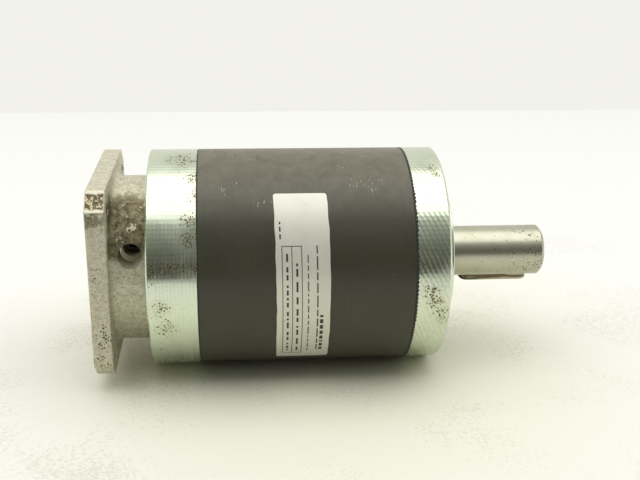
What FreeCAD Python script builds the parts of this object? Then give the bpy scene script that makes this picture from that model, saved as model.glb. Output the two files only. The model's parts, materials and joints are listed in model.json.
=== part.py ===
import FreeCAD, Part
import math
import os

Vector = FreeCAD.Vector

# Two-stage planetary gearbox with a square motor adapter. All sizes are in millimetres.
# X is the common axis and points out of the output end, and Z is up. The sides of the motor
# adapter lie along Y and Z. The origin is the centre of the output mounting face, so the
# gearbox itself fills negative X and only the pilot and the shaft stand out to positive X.

# Outside of the gearbox
body_diameter = 105.0
front_cover_length = 16.1
neck_length = 17.1
plate_margin = 5.0
plate_thickness = 8.9
plate_corner_cut = 8.0
plate_edge_round = 0.8
neck_fillet = 3.0
front_edge_chamfer = 1.0
rear_edge_chamfer = 0.6
joint_chamfer = 0.4

# Output side
pilot_diameter = 70.0
pilot_length = 5.0
shaft_diameter = 25.0
shaft_length = 51.3
shaft_end_chamfer = 1.5
key_width = 8.0
key_height = 7.0
key_length = 35.0
keyway_depth = 4.0
key_setback = 4.9
key_direction = 280.0
centre_bore_diameter = 6.8
centre_bore_depth = 19.0
centre_countersink_diameter = 9.0
centre_countersink_length = 1.9
mounting_margin = 10.0
mounting_hole_diameter = 6.8
mounting_hole_depth = 13.0
mounting_hole_count = 4

# Motor side
motor_pilot_diameter = 80.0
motor_pilot_depth = 4.0
motor_bolt_margin = 10.0
motor_bolt_count = 4
motor_hole_diameter = 5.0
motor_shaft_diameter = 19.0
motor_shaft_length = 40.0
adapter_bore_margin = 4.0
adapter_register_wall = 3.0
adapter_register_length = 2.5
access_hole_diameter = 11.0

# Gears
ring_wall = 12.0
pressure_angle = math.radians(20.0)
ring_teeth = 72
first_sun_teeth = 24
second_sun_teeth = 18
planet_count = 3
first_gear_width = 14.0
second_gear_width = 22.0
tooth_thinning = 0.10

# Planet carriers, pins, bushes and washers
output_plate_thickness = 6.5
output_end_plate_thickness = 5.0
middle_plate_thickness = 5.0
middle_end_plate_thickness = 3.5
first_pin_diameter = 10.0
second_pin_diameter = 13.0
first_bush_wall = 2.5
second_bush_wall = 3.0
washer_thickness = 1.2
washer_rim = 3.0
second_sun_neck = 16.4
second_sun_overhang = 0.5
first_sun_shank = 14.0

# Bearings: bore, outside, width, roller diameter and number of rollers. The ribs and the cage
# reach this share of a roller's diameter to each side of the pitch circle.
front_bearing_bore = 30.0
front_bearing_outside = 62.0
front_bearing_width = 16.0
front_roller_diameter = 7.0
front_roller_count = 12
inner_bearing_bore = 45.0
inner_bearing_outside = 75.0
inner_bearing_width = 16.0
inner_roller_diameter = 8.0
inner_roller_count = 14
input_bearing_bore = 35.0
input_bearing_outside = 62.0
input_bearing_width = 9.0
input_roller_diameter = 5.0
input_roller_count = 16
roller_rib_width = 2.0
rib_share = 0.3
cage_share = 0.18

# Seals, circlips, spigots, spacer and screws
output_seal_outside = 47.0
output_seal_width = 7.0
output_seal_inset = 0.5
input_seal_bore = 38.0
input_seal_outside = 52.0
input_seal_width = 7.0
input_seal_inset = 1.8
seal_wall_share = 0.22
seal_shoulder = 1.6
circlip_thickness = 1.5
circlip_depth = 1.2
circlip_height = 2.6
circlip_eye_share = 0.6
sealing_ring_width = 2.0
sealing_ring_height = 1.5
sealing_groove_play = 0.15
front_groove_setback = 0.9
rear_groove_setback = 1.2
circlip_shelf = 2.5
rear_spigot_length = 5.0
rear_floor_setback = 1.0
rear_bore_step = 0.7
spacer_length = 4.7
spacer_wall = 3.4
bearing_web = 2.5
input_web = 2.0
cover_screw_size = 4.0
cover_screw_grip = 10.0
front_screw_count = 8
rear_screw_count = 6
adapter_screw_size = 5.0
adapter_screw_grip = 9.0
adapter_screw_count = 4
clamp_screw_size = 6.0
screw_head_share = 1.5
screw_head_extra = 1.0
socket_relief = 1.0

# Input hub
hub_collar_diameter = 48.0
hub_collar_length = 12.0
hub_nose_diameter = 24.0
hub_slit_width = 2.0
clamp_screw_wall = 1.2

# Clearances
running_gap = 0.05
seat_gap = 0.02
side_play = 0.15
ring_step = 0.6
end_gap = 1.5
root_clearance = 0.25
tip_clearance = 0.02
carrier_gap = 0.8
rotor_gap = 1.7
tooth_relief_length = 4.0
shoulder_length = 3.0
shoulder_height = 3.0

# Stations along the axis, from the output shaft's end to the motor flange
x_shaft_end = pilot_length + shaft_length
x_key_end = x_shaft_end - key_setback
x_key_start = x_key_end - key_length
x_output_seal = pilot_length - output_seal_inset
x_output_seal_back = x_output_seal - output_seal_width
x_front_bearing = x_output_seal_back - bearing_web
x_front_bearing_back = x_front_bearing - front_bearing_width
x_cover_back = -front_cover_length
x_spigot_back = x_front_bearing_back - 2 * circlip_thickness
x_inner_bearing = x_spigot_back - spacer_length
x_inner_bearing_back = x_inner_bearing - inner_bearing_width
x_shoulder_back = x_inner_bearing_back - shoulder_length
x_teeth_front = x_shoulder_back - tooth_relief_length
x_output_plate = x_shoulder_back - end_gap
x_second_window = x_output_plate - output_plate_thickness
x_second_gears = x_second_window - washer_thickness - 2 * side_play
x_second_gears_back = x_second_gears - second_gear_width
x_second_window_back = x_second_gears_back - washer_thickness - 2 * side_play
x_output_carrier_back = x_second_window_back - output_end_plate_thickness
x_middle_plate = x_output_carrier_back - end_gap
x_first_window = x_middle_plate - middle_plate_thickness
x_first_gears = x_first_window - washer_thickness - 2 * side_play
x_first_gears_back = x_first_gears - first_gear_width
x_first_window_back = x_first_gears_back - washer_thickness - 2 * side_play
x_middle_carrier_back = x_first_window_back - middle_end_plate_thickness
x_cavity_floor = x_middle_carrier_back - end_gap
x_body_back = x_cavity_floor - rear_floor_setback
x_teeth_back = x_body_back + rear_spigot_length
x_input_circlip = x_cavity_floor - circlip_shelf
x_input_bearing = x_input_circlip - circlip_thickness
x_input_bearing_back = x_input_bearing - input_bearing_width
x_input_seal_front = x_input_bearing_back - input_web
x_input_seal_back = x_input_seal_front - input_seal_width
x_rear_back = x_input_seal_back - input_seal_inset
x_hub_collar = x_rear_back - rotor_gap
x_hub_back = x_hub_collar - hub_collar_length
x_clamp_screw = (x_hub_collar + x_hub_back) / 2
x_neck_back = x_rear_back - neck_length
x_plate_back = x_neck_back - plate_thickness
x_motor_bore_end = x_plate_back + motor_shaft_length + carrier_gap
x_hub_nose = x_first_window_back + 2 * side_play
x_first_sun = x_first_window - circlip_thickness - carrier_gap

# Diameters and radii that follow from the sizes above
neck_diameter = motor_pilot_diameter
plate_side = neck_diameter + 2 * plate_margin
motor_bolt_circle = motor_pilot_diameter + 2 * motor_bolt_margin
adapter_bore = input_seal_outside + 2 * adapter_bore_margin
adapter_register_diameter = adapter_bore + 2 * adapter_register_wall
mounting_circle = body_diameter - 2 * mounting_margin
gear_module = (body_diameter - 2 * ring_wall) / ring_teeth
body_radius = body_diameter / 2
shaft_radius = shaft_diameter / 2
ring_pitch_radius = gear_module * ring_teeth / 2
ring_tip_radius = ring_pitch_radius - gear_module * (1 - tip_clearance)
ring_root_radius = ring_pitch_radius + gear_module * (1 + root_clearance)
carrier_radius = ring_tip_radius - carrier_gap
rear_bore_radius = ring_root_radius + rear_bore_step
first_planet_teeth = (ring_teeth - first_sun_teeth) // 2
second_planet_teeth = (ring_teeth - second_sun_teeth) // 2
first_centre = gear_module * (first_sun_teeth + first_planet_teeth) / 2
second_centre = gear_module * (second_sun_teeth + second_planet_teeth) / 2
clamp_screw_height = motor_shaft_diameter / 2 + clamp_screw_wall + clamp_screw_size / 2
front_screw_circle = (inner_bearing_outside / 2 + body_radius) / 2
rear_screw_circle = (rear_bore_radius + body_radius) / 2
adapter_screw_circle = (adapter_bore + neck_diameter) / 4

# Screw seats and lengths, from the walls that the screws go through
front_head_depth = cover_screw_size + side_play
rear_head_depth = cover_screw_size + side_play
adapter_head_depth = adapter_screw_size + side_play
front_screw_length = front_cover_length - front_head_depth + cover_screw_grip
rear_screw_length = x_body_back - x_rear_back - rear_head_depth + cover_screw_grip
adapter_wall = x_rear_back - x_plate_back - motor_pilot_depth - adapter_head_depth
adapter_screw_length = adapter_wall + adapter_screw_grip
clamp_screw_length = hub_collar_diameter / 2
clamp_screw_seat = Vector(x_clamp_screw, -clamp_screw_length / 2, clamp_screw_height)


def polar(x, radius, angle):
    """The point at a station, a radius and an angle in radians about the axis, from +Y to +Z."""
    return Vector(x, radius * math.cos(angle), radius * math.sin(angle))


def rod(x_start, x_end, radius, y=0.0, z=0.0):
    """A solid cylinder along X."""
    start = Vector(min(x_start, x_end), y, z)
    return Part.makeCylinder(radius, abs(x_end - x_start), start, Vector(1, 0, 0))


def tube(x_start, x_end, outer_radius, inner_radius):
    """A plain ring about the axis."""
    return rod(x_start, x_end, outer_radius).cut(rod(x_start, x_end, inner_radius))


def turned(*profile):
    """A turned solid from its profile, given as station and radius pairs in order."""
    points = [Vector(x, radius, 0) for x, radius in profile]
    wire = Part.makePolygon(points + points[:1])
    return Part.Face(wire).revolve(Vector(0, 0, 0), Vector(1, 0, 0), 360)


def turned_about_axis(shape, angle):
    """A copy of a shape turned about the common axis by an angle in degrees."""
    copy = shape.copy()
    copy.rotate(Vector(0, 0, 0), Vector(1, 0, 0), angle)
    return copy


def around(shape, count, start=0.0):
    """Copies of a shape, evenly spaced about the common axis."""
    return [turned_about_axis(shape, start + 360.0 * i / count) for i in range(count)]


def involute(angle):
    return math.tan(angle) - angle


def tooth_profile(teeth, root_radius, tip_radius, thinning):
    """The closed outline of a gear at x = 0, with a tooth centred on +Y and arcs as flanks."""
    pitch_radius = gear_module * teeth / 2
    base_radius = pitch_radius * math.cos(pressure_angle)
    pitch_half = (math.pi * gear_module / 2 - thinning) / (2 * pitch_radius)

    def half_angle(radius):
        slope = math.acos(min(base_radius / radius, 1.0))
        return pitch_half + involute(pressure_angle) - involute(slope)

    root_half = half_angle(root_radius)
    tip_half = half_angle(tip_radius)
    pitch_angle = 2 * math.pi / teeth
    edges = []
    for i in range(teeth):
        middle = i * pitch_angle
        root_start = polar(0, root_radius, middle - root_half)
        tip_start = polar(0, tip_radius, middle - tip_half)
        tip_end = polar(0, tip_radius, middle + tip_half)
        root_end = polar(0, root_radius, middle + root_half)
        next_root = polar(0, root_radius, middle + pitch_angle - root_half)
        rising = polar(0, pitch_radius, middle - pitch_half)
        falling = polar(0, pitch_radius, middle + pitch_half)
        edges.append(Part.Arc(root_start, rising, tip_start).toShape())
        edges.append(Part.Arc(tip_start, polar(0, tip_radius, middle), tip_end).toShape())
        edges.append(Part.Arc(tip_end, falling, root_end).toShape())
        bottom = polar(0, root_radius, middle + pitch_angle / 2)
        edges.append(Part.Arc(root_end, bottom, next_root).toShape())
    return Part.Wire(edges)


def toothed_prism(wire, x_start, x_end):
    """A gear outline swept along X."""
    prism = Part.Face(wire).extrude(Vector(x_end - x_start, 0, 0))
    prism.translate(Vector(x_start, 0, 0))
    return prism


def root_radius_of(teeth):
    return gear_module * (teeth / 2 - 1 - root_clearance)


def tip_radius_of(teeth):
    return gear_module * (teeth / 2 + 1 - tip_clearance)


def external_gear(teeth, x_start, x_end):
    """A gear with outward teeth on the common axis."""
    wire = tooth_profile(teeth, root_radius_of(teeth), tip_radius_of(teeth), tooth_thinning)
    return toothed_prism(wire, x_start, x_end)


def sun_turn(sun_teeth, planet_teeth):
    """How far a sun is turned so that it meets planets that have a tooth pointing outwards."""
    return 180.0 / sun_teeth if planet_teeth % 2 == 0 else 0.0


def planet_gear(teeth, centre, bore_radius, x_start, x_end):
    """A planet gear at its place on the +Y side, bored for its bush."""
    gear = external_gear(teeth, x_start, x_end).cut(rod(x_start, x_end, bore_radius))
    gear.translate(Vector(0, centre, 0))
    return gear


def planet_bush(centre, pin_radius, wall, x_start, x_end):
    """The plain bush pressed into a planet, which runs on the pin."""
    bush = tube(x_start, x_end, pin_radius + wall, pin_radius + running_gap)
    bush.translate(Vector(0, centre, 0))
    return bush


def washer_pair(centre, pin_radius, x_start, x_end):
    """The two thrust washers of a planet, between it and the carrier plates."""
    outer = pin_radius + washer_rim
    inner = pin_radius + running_gap
    front = tube(x_start + side_play, x_start + side_play + washer_thickness, outer, inner)
    back = tube(x_end - side_play, x_end - side_play - washer_thickness, outer, inner)
    for washer in (front, back):
        washer.translate(Vector(0, centre, 0))
    return [front, back]


def grouped(shapes):
    return Part.makeCompound(shapes)


def carrier_drum(x_front, x_window, x_window_back, x_back, centre, planet_tip, bore_radius):
    """Two plates joined by webs: a drum with one pocket a planet and a central bore from behind."""
    drum = rod(x_front, x_back, carrier_radius)
    pocket = rod(x_window, x_window_back, planet_tip + carrier_gap, centre)
    hollow = rod(x_window, x_back, bore_radius)
    return drum.cut(around(pocket, planet_count) + [hollow])


def pin_holes(x_start, x_end, centre, radius):
    return around(rod(x_start, x_end, radius + seat_gap, centre), planet_count)


def planet_pins(x_start, x_end, centre, radius):
    """Ground pins with chamfered ends, pressed through both plates of a carrier."""
    chamfer = radius / 10
    pin = turned(
        (x_start, 0),
        (x_start, radius - chamfer),
        (x_start - chamfer, radius),
        (x_end + chamfer, radius),
        (x_end, radius - chamfer),
        (x_end, 0),
    )
    pin.translate(Vector(0, centre, 0))
    return grouped(around(pin, planet_count))


def outer_ring(x_front, width, bore, outside, roller):
    """Outer bearing ring with a rib on each side of the raceway."""
    x_back = x_front - width
    pitch = (bore + outside) / 4
    rib = pitch + rib_share * roller
    raceway = pitch + roller / 2 + running_gap
    radius = outside / 2 - seat_gap
    return turned(
        (x_front, radius),
        (x_back, radius),
        (x_back, rib),
        (x_back + roller_rib_width, rib),
        (x_back + roller_rib_width, raceway),
        (x_front - roller_rib_width, raceway),
        (x_front - roller_rib_width, rib),
        (x_front, rib),
    )


def inner_ring(x_front, width, bore, outside, roller):
    """Plain inner bearing ring."""
    raceway = (bore + outside) / 4 - roller / 2 - running_gap
    return tube(x_front, x_front - width, raceway, bore / 2 + seat_gap)


def roller_set(x_front, width, bore, outside, roller, count, spare=0.0):
    """The rollers of a bearing, or with spare the pockets that hold them."""
    reach = roller_rib_width + side_play - spare
    one = rod(x_front - reach, x_front - width + reach, roller / 2 + spare, (bore + outside) / 4)
    return around(one, count)


def roller_cage(x_front, width, bore, outside, roller, count):
    """The cage: a ring on the pitch circle with one pocket a roller."""
    pitch = (bore + outside) / 4
    half_wall = cage_share * roller
    rim = roller_rib_width / 4
    ring = tube(x_front - rim, x_front - width + rim, pitch + half_wall, pitch - half_wall)
    return ring.cut(roller_set(x_front, width, bore, outside, roller, count, side_play))


def shaft_seal(x_outside, x_inside, outer_radius, shaft_seat):
    """Radial shaft seal: a channel ring with a lip that runs on the shaft."""
    inward = 1 if x_inside > x_outside else -1
    lip = shaft_seat + running_gap
    wall = seal_wall_share * (outer_radius - shaft_seat)
    return turned(
        (x_outside, outer_radius - seat_gap),
        (x_inside, outer_radius - seat_gap),
        (x_inside, outer_radius - wall),
        (x_outside + inward * wall, outer_radius - wall),
        (x_outside + inward * wall, lip + 2 * wall),
        (x_inside - inward * wall, lip + wall),
        (x_inside - inward * wall, lip + wall / 2),
        (x_inside - inward * 2 * wall, lip),
        (x_outside + inward * wall / 2, lip + wall / 2),
        (x_outside, lip + wall),
    )


def circlip(x_front, groove_radius, outward):
    """A snap ring with a gap and two eyed ends, outward on a shaft or inward in a bore."""
    side = 1 if outward else -1
    rim = groove_radius + side * circlip_height
    x_back = x_front - circlip_thickness
    ring = tube(x_front, x_back, max(rim, groove_radius), min(rim, groove_radius))
    reach = 3 * circlip_height
    gap = Part.makeBox(circlip_thickness, 2 * circlip_height, reach)
    gap.translate(Vector(x_back, -circlip_height, (rim + groove_radius - reach) / 2))
    ring = ring.cut(gap)
    eye_radius = circlip_height * circlip_eye_share
    eye_angle = math.asin((circlip_height + eye_radius) / rim)
    for end in (-1, 1):
        place = polar(0, rim - side * eye_radius / 2, math.pi / 2 + end * eye_angle)
        ring = ring.fuse(rod(x_front, x_back, eye_radius, place.y, place.z))
        ring = ring.cut(rod(x_front, x_back, eye_radius / 2, place.y, place.z))
    return ring.removeSplitter()


def head_radius_of(size):
    return (screw_head_share * size + screw_head_extra) / 2


def socket_screw(size, length, seat, direction):
    """A socket head cap screw. Seat is where the head rests, and direction points out of the head."""
    head = Part.makeCylinder(head_radius_of(size), size)
    head = head.makeChamfer(size / 16, [edge for edge in head.Edges if edge.BoundBox.ZMin > size / 2])
    shank = Part.makeCylinder(size / 2, length, Vector(0, 0, -length))
    socket_radius = (size - socket_relief) / 2 / math.cos(math.pi / 6)
    hexagon = []
    for i in range(6):
        turn = math.pi / 3 * i
        corner = Vector(socket_radius * math.cos(turn), socket_radius * math.sin(turn), size)
        hexagon.append(corner)
    outline = Part.makePolygon(hexagon + hexagon[:1])
    socket = Part.Face(outline).extrude(Vector(0, 0, -size / 2))
    screw = head.fuse(shank).cut(socket).removeSplitter()
    screw.Placement = FreeCAD.Placement(seat, FreeCAD.Rotation(Vector(0, 0, 1), direction))
    return screw


def screw_hole(size, seat, direction, head_depth, length):
    """Clearance for a socket screw: counterbore above the seat and bore below it."""
    shank_radius = size / 2 + running_gap
    head = Part.makeCylinder(head_radius_of(size) + 2 * side_play, head_depth, seat, direction)
    shank = Part.makeCylinder(shank_radius, length, seat, direction * -1)
    return head.fuse(shank)


def make_gear_body():
    """The body: a turned steel tube whose bore is the ring gear of both stages."""
    bearing_bore = inner_bearing_outside / 2
    shoulder_bore = bearing_bore - shoulder_height
    relief_radius = ring_root_radius + 2 * side_play
    body = turned(
        (x_cover_back, bearing_bore),
        (x_cover_back, body_radius - joint_chamfer),
        (x_cover_back - joint_chamfer, body_radius),
        (x_body_back + joint_chamfer, body_radius),
        (x_body_back, body_radius - joint_chamfer),
        (x_body_back, rear_bore_radius),
        (x_teeth_back, rear_bore_radius),
        (x_teeth_back, carrier_radius),
        (x_teeth_front, carrier_radius),
        (x_teeth_front, relief_radius),
        (x_shoulder_back, relief_radius),
        (x_shoulder_back, shoulder_bore),
        (x_inner_bearing_back, shoulder_bore),
        (x_inner_bearing_back, bearing_bore),
    )
    spaces = tooth_profile(ring_teeth, ring_tip_radius, ring_root_radius, -tooth_thinning)
    body = body.cut(toothed_prism(spaces, x_teeth_back, x_teeth_front))
    thread_radius = cover_screw_size / 2 + running_gap
    front_end = x_cover_back - cover_screw_grip - cover_screw_size / 2
    rear_end = x_body_back + cover_screw_grip + cover_screw_size / 2
    front_thread = rod(x_cover_back, front_end, thread_radius, front_screw_circle)
    rear_thread = rod(x_body_back, rear_end, thread_radius, rear_screw_circle)
    front_threads = around(front_thread, front_screw_count, 180.0 / front_screw_count)
    return body.cut(front_threads + around(rear_thread, rear_screw_count))


def make_front_cover():
    """The output cover: pilot, seal pocket, bearing seat, spigot into the body and mounting holes."""
    seat = front_bearing_outside / 2
    groove = seat + circlip_depth
    pocket = output_seal_outside / 2
    web_bore = pocket - seal_shoulder
    spigot = inner_bearing_outside / 2 - running_gap
    ring_front = x_cover_back - front_groove_setback
    ring_back = ring_front - sealing_ring_width - 2 * sealing_groove_play
    cover = turned(
        (pilot_length, pocket),
        (pilot_length, pilot_diameter / 2 - joint_chamfer),
        (pilot_length - joint_chamfer, pilot_diameter / 2),
        (0, pilot_diameter / 2),
        (0, body_radius - front_edge_chamfer),
        (-front_edge_chamfer, body_radius),
        (x_cover_back + joint_chamfer, body_radius),
        (x_cover_back, body_radius - joint_chamfer),
        (x_cover_back, spigot),
        (ring_front, spigot),
        (ring_front, spigot - sealing_ring_height),
        (ring_back, spigot - sealing_ring_height),
        (ring_back, spigot),
        (x_spigot_back, spigot),
        (x_spigot_back, seat),
        (x_front_bearing_back - circlip_thickness, seat),
        (x_front_bearing_back - circlip_thickness, groove),
        (x_front_bearing_back, groove),
        (x_front_bearing_back, seat),
        (x_front_bearing, seat),
        (x_front_bearing, web_bore),
        (x_output_seal_back, web_bore),
        (x_output_seal_back, pocket),
    )
    hole_radius = mounting_hole_diameter / 2
    hole = rod(0, -mounting_hole_depth, hole_radius, mounting_circle / 2)
    tip = Part.makeCone(
        hole_radius,
        0,
        hole_radius / 2,
        Vector(-mounting_hole_depth, mounting_circle / 2, 0),
        Vector(-1, 0, 0),
    )
    screw_seat = Vector(-front_head_depth, front_screw_circle, 0)
    screw = screw_hole(
        cover_screw_size, screw_seat, Vector(1, 0, 0), front_head_depth, front_cover_length
    )
    cuts = around(hole.fuse(tip), mounting_hole_count, 180.0 / mounting_hole_count)
    cuts += around(screw, front_screw_count, 180.0 / front_screw_count)
    return cover.cut(cuts)


def make_rear_cover():
    """The input cover: spigot into the body, input bearing seat, seal pocket and adapter register."""
    seat = input_bearing_outside / 2
    groove = seat + circlip_depth
    cavity = carrier_radius + carrier_gap
    spigot = rear_bore_radius - running_gap
    pocket = input_seal_outside / 2
    web_bore = (input_seal_bore + input_seal_outside) / 4
    register = adapter_register_diameter / 2
    ring_front = x_teeth_back - rear_groove_setback
    ring_back = ring_front - sealing_ring_width - 2 * sealing_groove_play
    cover = turned(
        (x_teeth_back, cavity),
        (x_teeth_back, spigot),
        (ring_front, spigot),
        (ring_front, spigot - sealing_ring_height),
        (ring_back, spigot - sealing_ring_height),
        (ring_back, spigot),
        (x_body_back, spigot),
        (x_body_back, body_radius - joint_chamfer),
        (x_body_back - joint_chamfer, body_radius),
        (x_rear_back + rear_edge_chamfer, body_radius),
        (x_rear_back, body_radius - rear_edge_chamfer),
        (x_rear_back, register),
        (x_rear_back + adapter_register_length, register),
        (x_rear_back + adapter_register_length, pocket),
        (x_input_seal_front, pocket),
        (x_input_seal_front, web_bore),
        (x_input_bearing_back, web_bore),
        (x_input_bearing_back, seat),
        (x_input_bearing, seat),
        (x_input_bearing, groove),
        (x_input_circlip, groove),
        (x_input_circlip, seat),
        (x_cavity_floor, seat),
        (x_cavity_floor, cavity),
    )
    outward = Vector(-1, 0, 0)
    screw_seat = Vector(x_rear_back + rear_head_depth, rear_screw_circle, 0)
    screw = screw_hole(cover_screw_size, screw_seat, outward, rear_head_depth, -x_rear_back)
    thread_depth = adapter_screw_grip + adapter_screw_size / 2
    thread = rod(
        x_rear_back,
        x_rear_back + thread_depth,
        adapter_screw_size / 2 + running_gap,
        adapter_screw_circle,
    )
    cuts = around(screw, rear_screw_count)
    cuts += around(thread, adapter_screw_count, 180.0 / adapter_screw_count)
    return cover.cut(cuts)


def make_motor_adapter():
    """The cast adapter: square flange with cut corners, round neck and register for the cover."""
    half = plate_side / 2
    inset = half - plate_corner_cut
    corners = [
        Vector(x_plate_back, half, -inset),
        Vector(x_plate_back, half, inset),
        Vector(x_plate_back, inset, half),
        Vector(x_plate_back, -inset, half),
        Vector(x_plate_back, -half, inset),
        Vector(x_plate_back, -half, -inset),
        Vector(x_plate_back, -inset, -half),
        Vector(x_plate_back, inset, -half),
    ]
    plate = Part.Face(Part.makePolygon(corners + corners[:1])).extrude(Vector(plate_thickness, 0, 0))
    plate = plate.makeFillet(plate_edge_round, plate.Edges)
    neck_radius = neck_diameter / 2
    casting = plate.fuse(rod(x_neck_back - plate_thickness / 2, x_rear_back, neck_radius))
    joint = [
        edge
        for edge in casting.Edges
        if edge.BoundBox.XLength < seat_gap
        and abs(edge.BoundBox.XMin - x_neck_back) < seat_gap
        and abs(edge.BoundBox.YLength - neck_diameter) < seat_gap
    ]
    casting = casting.makeFillet(neck_fillet, joint)
    register = adapter_register_diameter / 2 - running_gap
    casting = casting.fuse(rod(x_rear_back, x_rear_back + adapter_register_length, register))
    recess_floor = x_plate_back + motor_pilot_depth
    cuts = [
        rod(x_plate_back, x_rear_back + adapter_register_length, adapter_bore / 2),
        rod(x_plate_back, recess_floor, motor_pilot_diameter / 2),
        Part.makeCylinder(
            access_hole_diameter / 2,
            neck_radius,
            Vector(x_clamp_screw, 0, clamp_screw_height),
            Vector(0, -1, 0),
        ),
    ]
    motor_hole = rod(x_plate_back, x_rear_back, motor_hole_diameter / 2, motor_bolt_circle / 2)
    cuts += around(motor_hole, motor_bolt_count, 180.0 / motor_bolt_count)
    screw_seat = Vector(recess_floor + adapter_head_depth, adapter_screw_circle, 0)
    screw = screw_hole(
        adapter_screw_size, screw_seat, Vector(-1, 0, 0), adapter_head_depth, -recess_floor
    )
    cuts += around(screw, adapter_screw_count, 180.0 / adapter_screw_count)
    return casting.cut(cuts)


def make_output_carrier():
    """The output shaft in one piece with the second carrier."""
    journal = inner_bearing_bore / 2
    shoulder = journal + shoulder_height
    bearing_seat = front_bearing_bore / 2
    step = (front_bearing_bore + front_bearing_outside) / 4 - front_roller_diameter / 2 - ring_step
    clip_groove = journal - circlip_depth
    front_groove = bearing_seat - circlip_depth
    x_step = x_inner_bearing + 2 * circlip_thickness
    x_seal_land = x_output_seal - side_play
    centre_radius = centre_bore_diameter / 2
    x_centre_floor = x_shaft_end - centre_bore_depth
    shaft = turned(
        (x_centre_floor - centre_radius / 2, 0),
        (x_centre_floor, centre_radius),
        (x_shaft_end - centre_countersink_length, centre_radius),
        (x_shaft_end, centre_countersink_diameter / 2),
        (x_shaft_end, shaft_radius - shaft_end_chamfer),
        (x_shaft_end - shaft_end_chamfer, shaft_radius),
        (x_seal_land, shaft_radius),
        (x_seal_land, bearing_seat - shaft_end_chamfer),
        (x_seal_land - shaft_end_chamfer, bearing_seat),
        (x_front_bearing + circlip_thickness, bearing_seat),
        (x_front_bearing + circlip_thickness, front_groove),
        (x_front_bearing, front_groove),
        (x_front_bearing, bearing_seat),
        (x_front_bearing_back, bearing_seat),
        (x_front_bearing_back, step),
        (x_step, step),
        (x_step, journal),
        (x_inner_bearing + circlip_thickness, journal),
        (x_inner_bearing + circlip_thickness, clip_groove),
        (x_inner_bearing, clip_groove),
        (x_inner_bearing, journal),
        (x_inner_bearing_back, journal),
        (x_inner_bearing_back, shoulder),
        (x_output_plate, shoulder),
        (x_output_plate, 0),
    )
    sun_bore = tip_radius_of(second_sun_teeth) + carrier_gap
    drum = carrier_drum(
        x_output_plate,
        x_second_window,
        x_second_window_back,
        x_output_carrier_back,
        second_centre,
        tip_radius_of(second_planet_teeth),
        sun_bore,
    )
    carrier = shaft.fuse(drum).removeSplitter()
    holes = pin_holes(
        x_output_plate, x_output_carrier_back, second_centre, second_pin_diameter / 2
    )
    return carrier.cut(holes + [key_block(seat_gap, shaft_radius)])


def key_block(gap, height):
    """A bar with round ends that stands on the keyway's floor. With a gap it is the keyway."""
    radius = key_width / 2
    floor = shaft_radius - keyway_depth
    near = x_key_start + radius
    far = x_key_end - radius
    width = key_width + 2 * gap
    bar = Part.makeBox(far - near, width, height, Vector(near, -width / 2, floor))
    for x in (near, far):
        bar = bar.fuse(Part.makeCylinder(width / 2, height, Vector(x, 0, floor)))
    return turned_about_axis(bar.removeSplitter(), key_direction - 90)


def make_output_key():
    """The parallel key, with its top edges broken."""
    key = key_block(0, key_height)
    top = [edge for edge in key.Edges if key_rim(edge)]
    return key.makeChamfer(joint_chamfer, top)


def key_rim(edge):
    """Whether an edge runs round the top face of the key."""
    turned_back = turned_about_axis(edge, 90 - key_direction)
    return turned_back.BoundBox.ZMin > shaft_radius - keyway_depth + key_height - seat_gap


def make_middle_carrier():
    """The first carrier: two plates with webs, driving the second sun."""
    drum = carrier_drum(
        x_middle_plate,
        x_first_window,
        x_first_window_back,
        x_middle_carrier_back,
        first_centre,
        tip_radius_of(first_planet_teeth),
        tip_radius_of(first_sun_teeth) + carrier_gap,
    )
    holes = pin_holes(x_middle_plate, x_middle_carrier_back, first_centre, first_pin_diameter / 2)
    neck_hole = rod(x_middle_plate, x_first_window, second_sun_neck / 2 + seat_gap)
    return drum.cut(holes + [neck_hole])


def make_second_sun():
    """The second sun with the neck that is pressed into the first carrier."""
    neck = second_sun_neck / 2
    collar = neck + 2 * circlip_depth
    groove = neck - circlip_depth
    x_teeth_end = x_second_gears_back - end_gap
    x_collar = x_middle_plate + circlip_thickness - 2 * side_play
    x_neck_end = x_first_window - circlip_thickness - second_sun_overhang
    shank = turned(
        (x_teeth_end, 0),
        (x_teeth_end, neck),
        (x_collar, neck),
        (x_collar, collar),
        (x_middle_plate, collar),
        (x_middle_plate, neck),
        (x_first_window, neck),
        (x_first_window, groove),
        (x_first_window - circlip_thickness, groove),
        (x_first_window - circlip_thickness, neck),
        (x_neck_end, neck),
        (x_neck_end, 0),
    )
    gear = external_gear(second_sun_teeth, x_teeth_end, x_second_gears - 2 * side_play)
    gear = turned_about_axis(gear, sun_turn(second_sun_teeth, second_planet_teeth))
    return gear.fuse(shank)


def make_first_sun():
    """The first sun with the shank that is pressed into the input hub."""
    shank = rod(x_hub_nose, x_motor_bore_end + end_gap, first_sun_shank / 2)
    gear = external_gear(first_sun_teeth, x_hub_nose, x_first_sun)
    gear = turned_about_axis(gear, sun_turn(first_sun_teeth, first_planet_teeth))
    return gear.fuse(shank)


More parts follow.
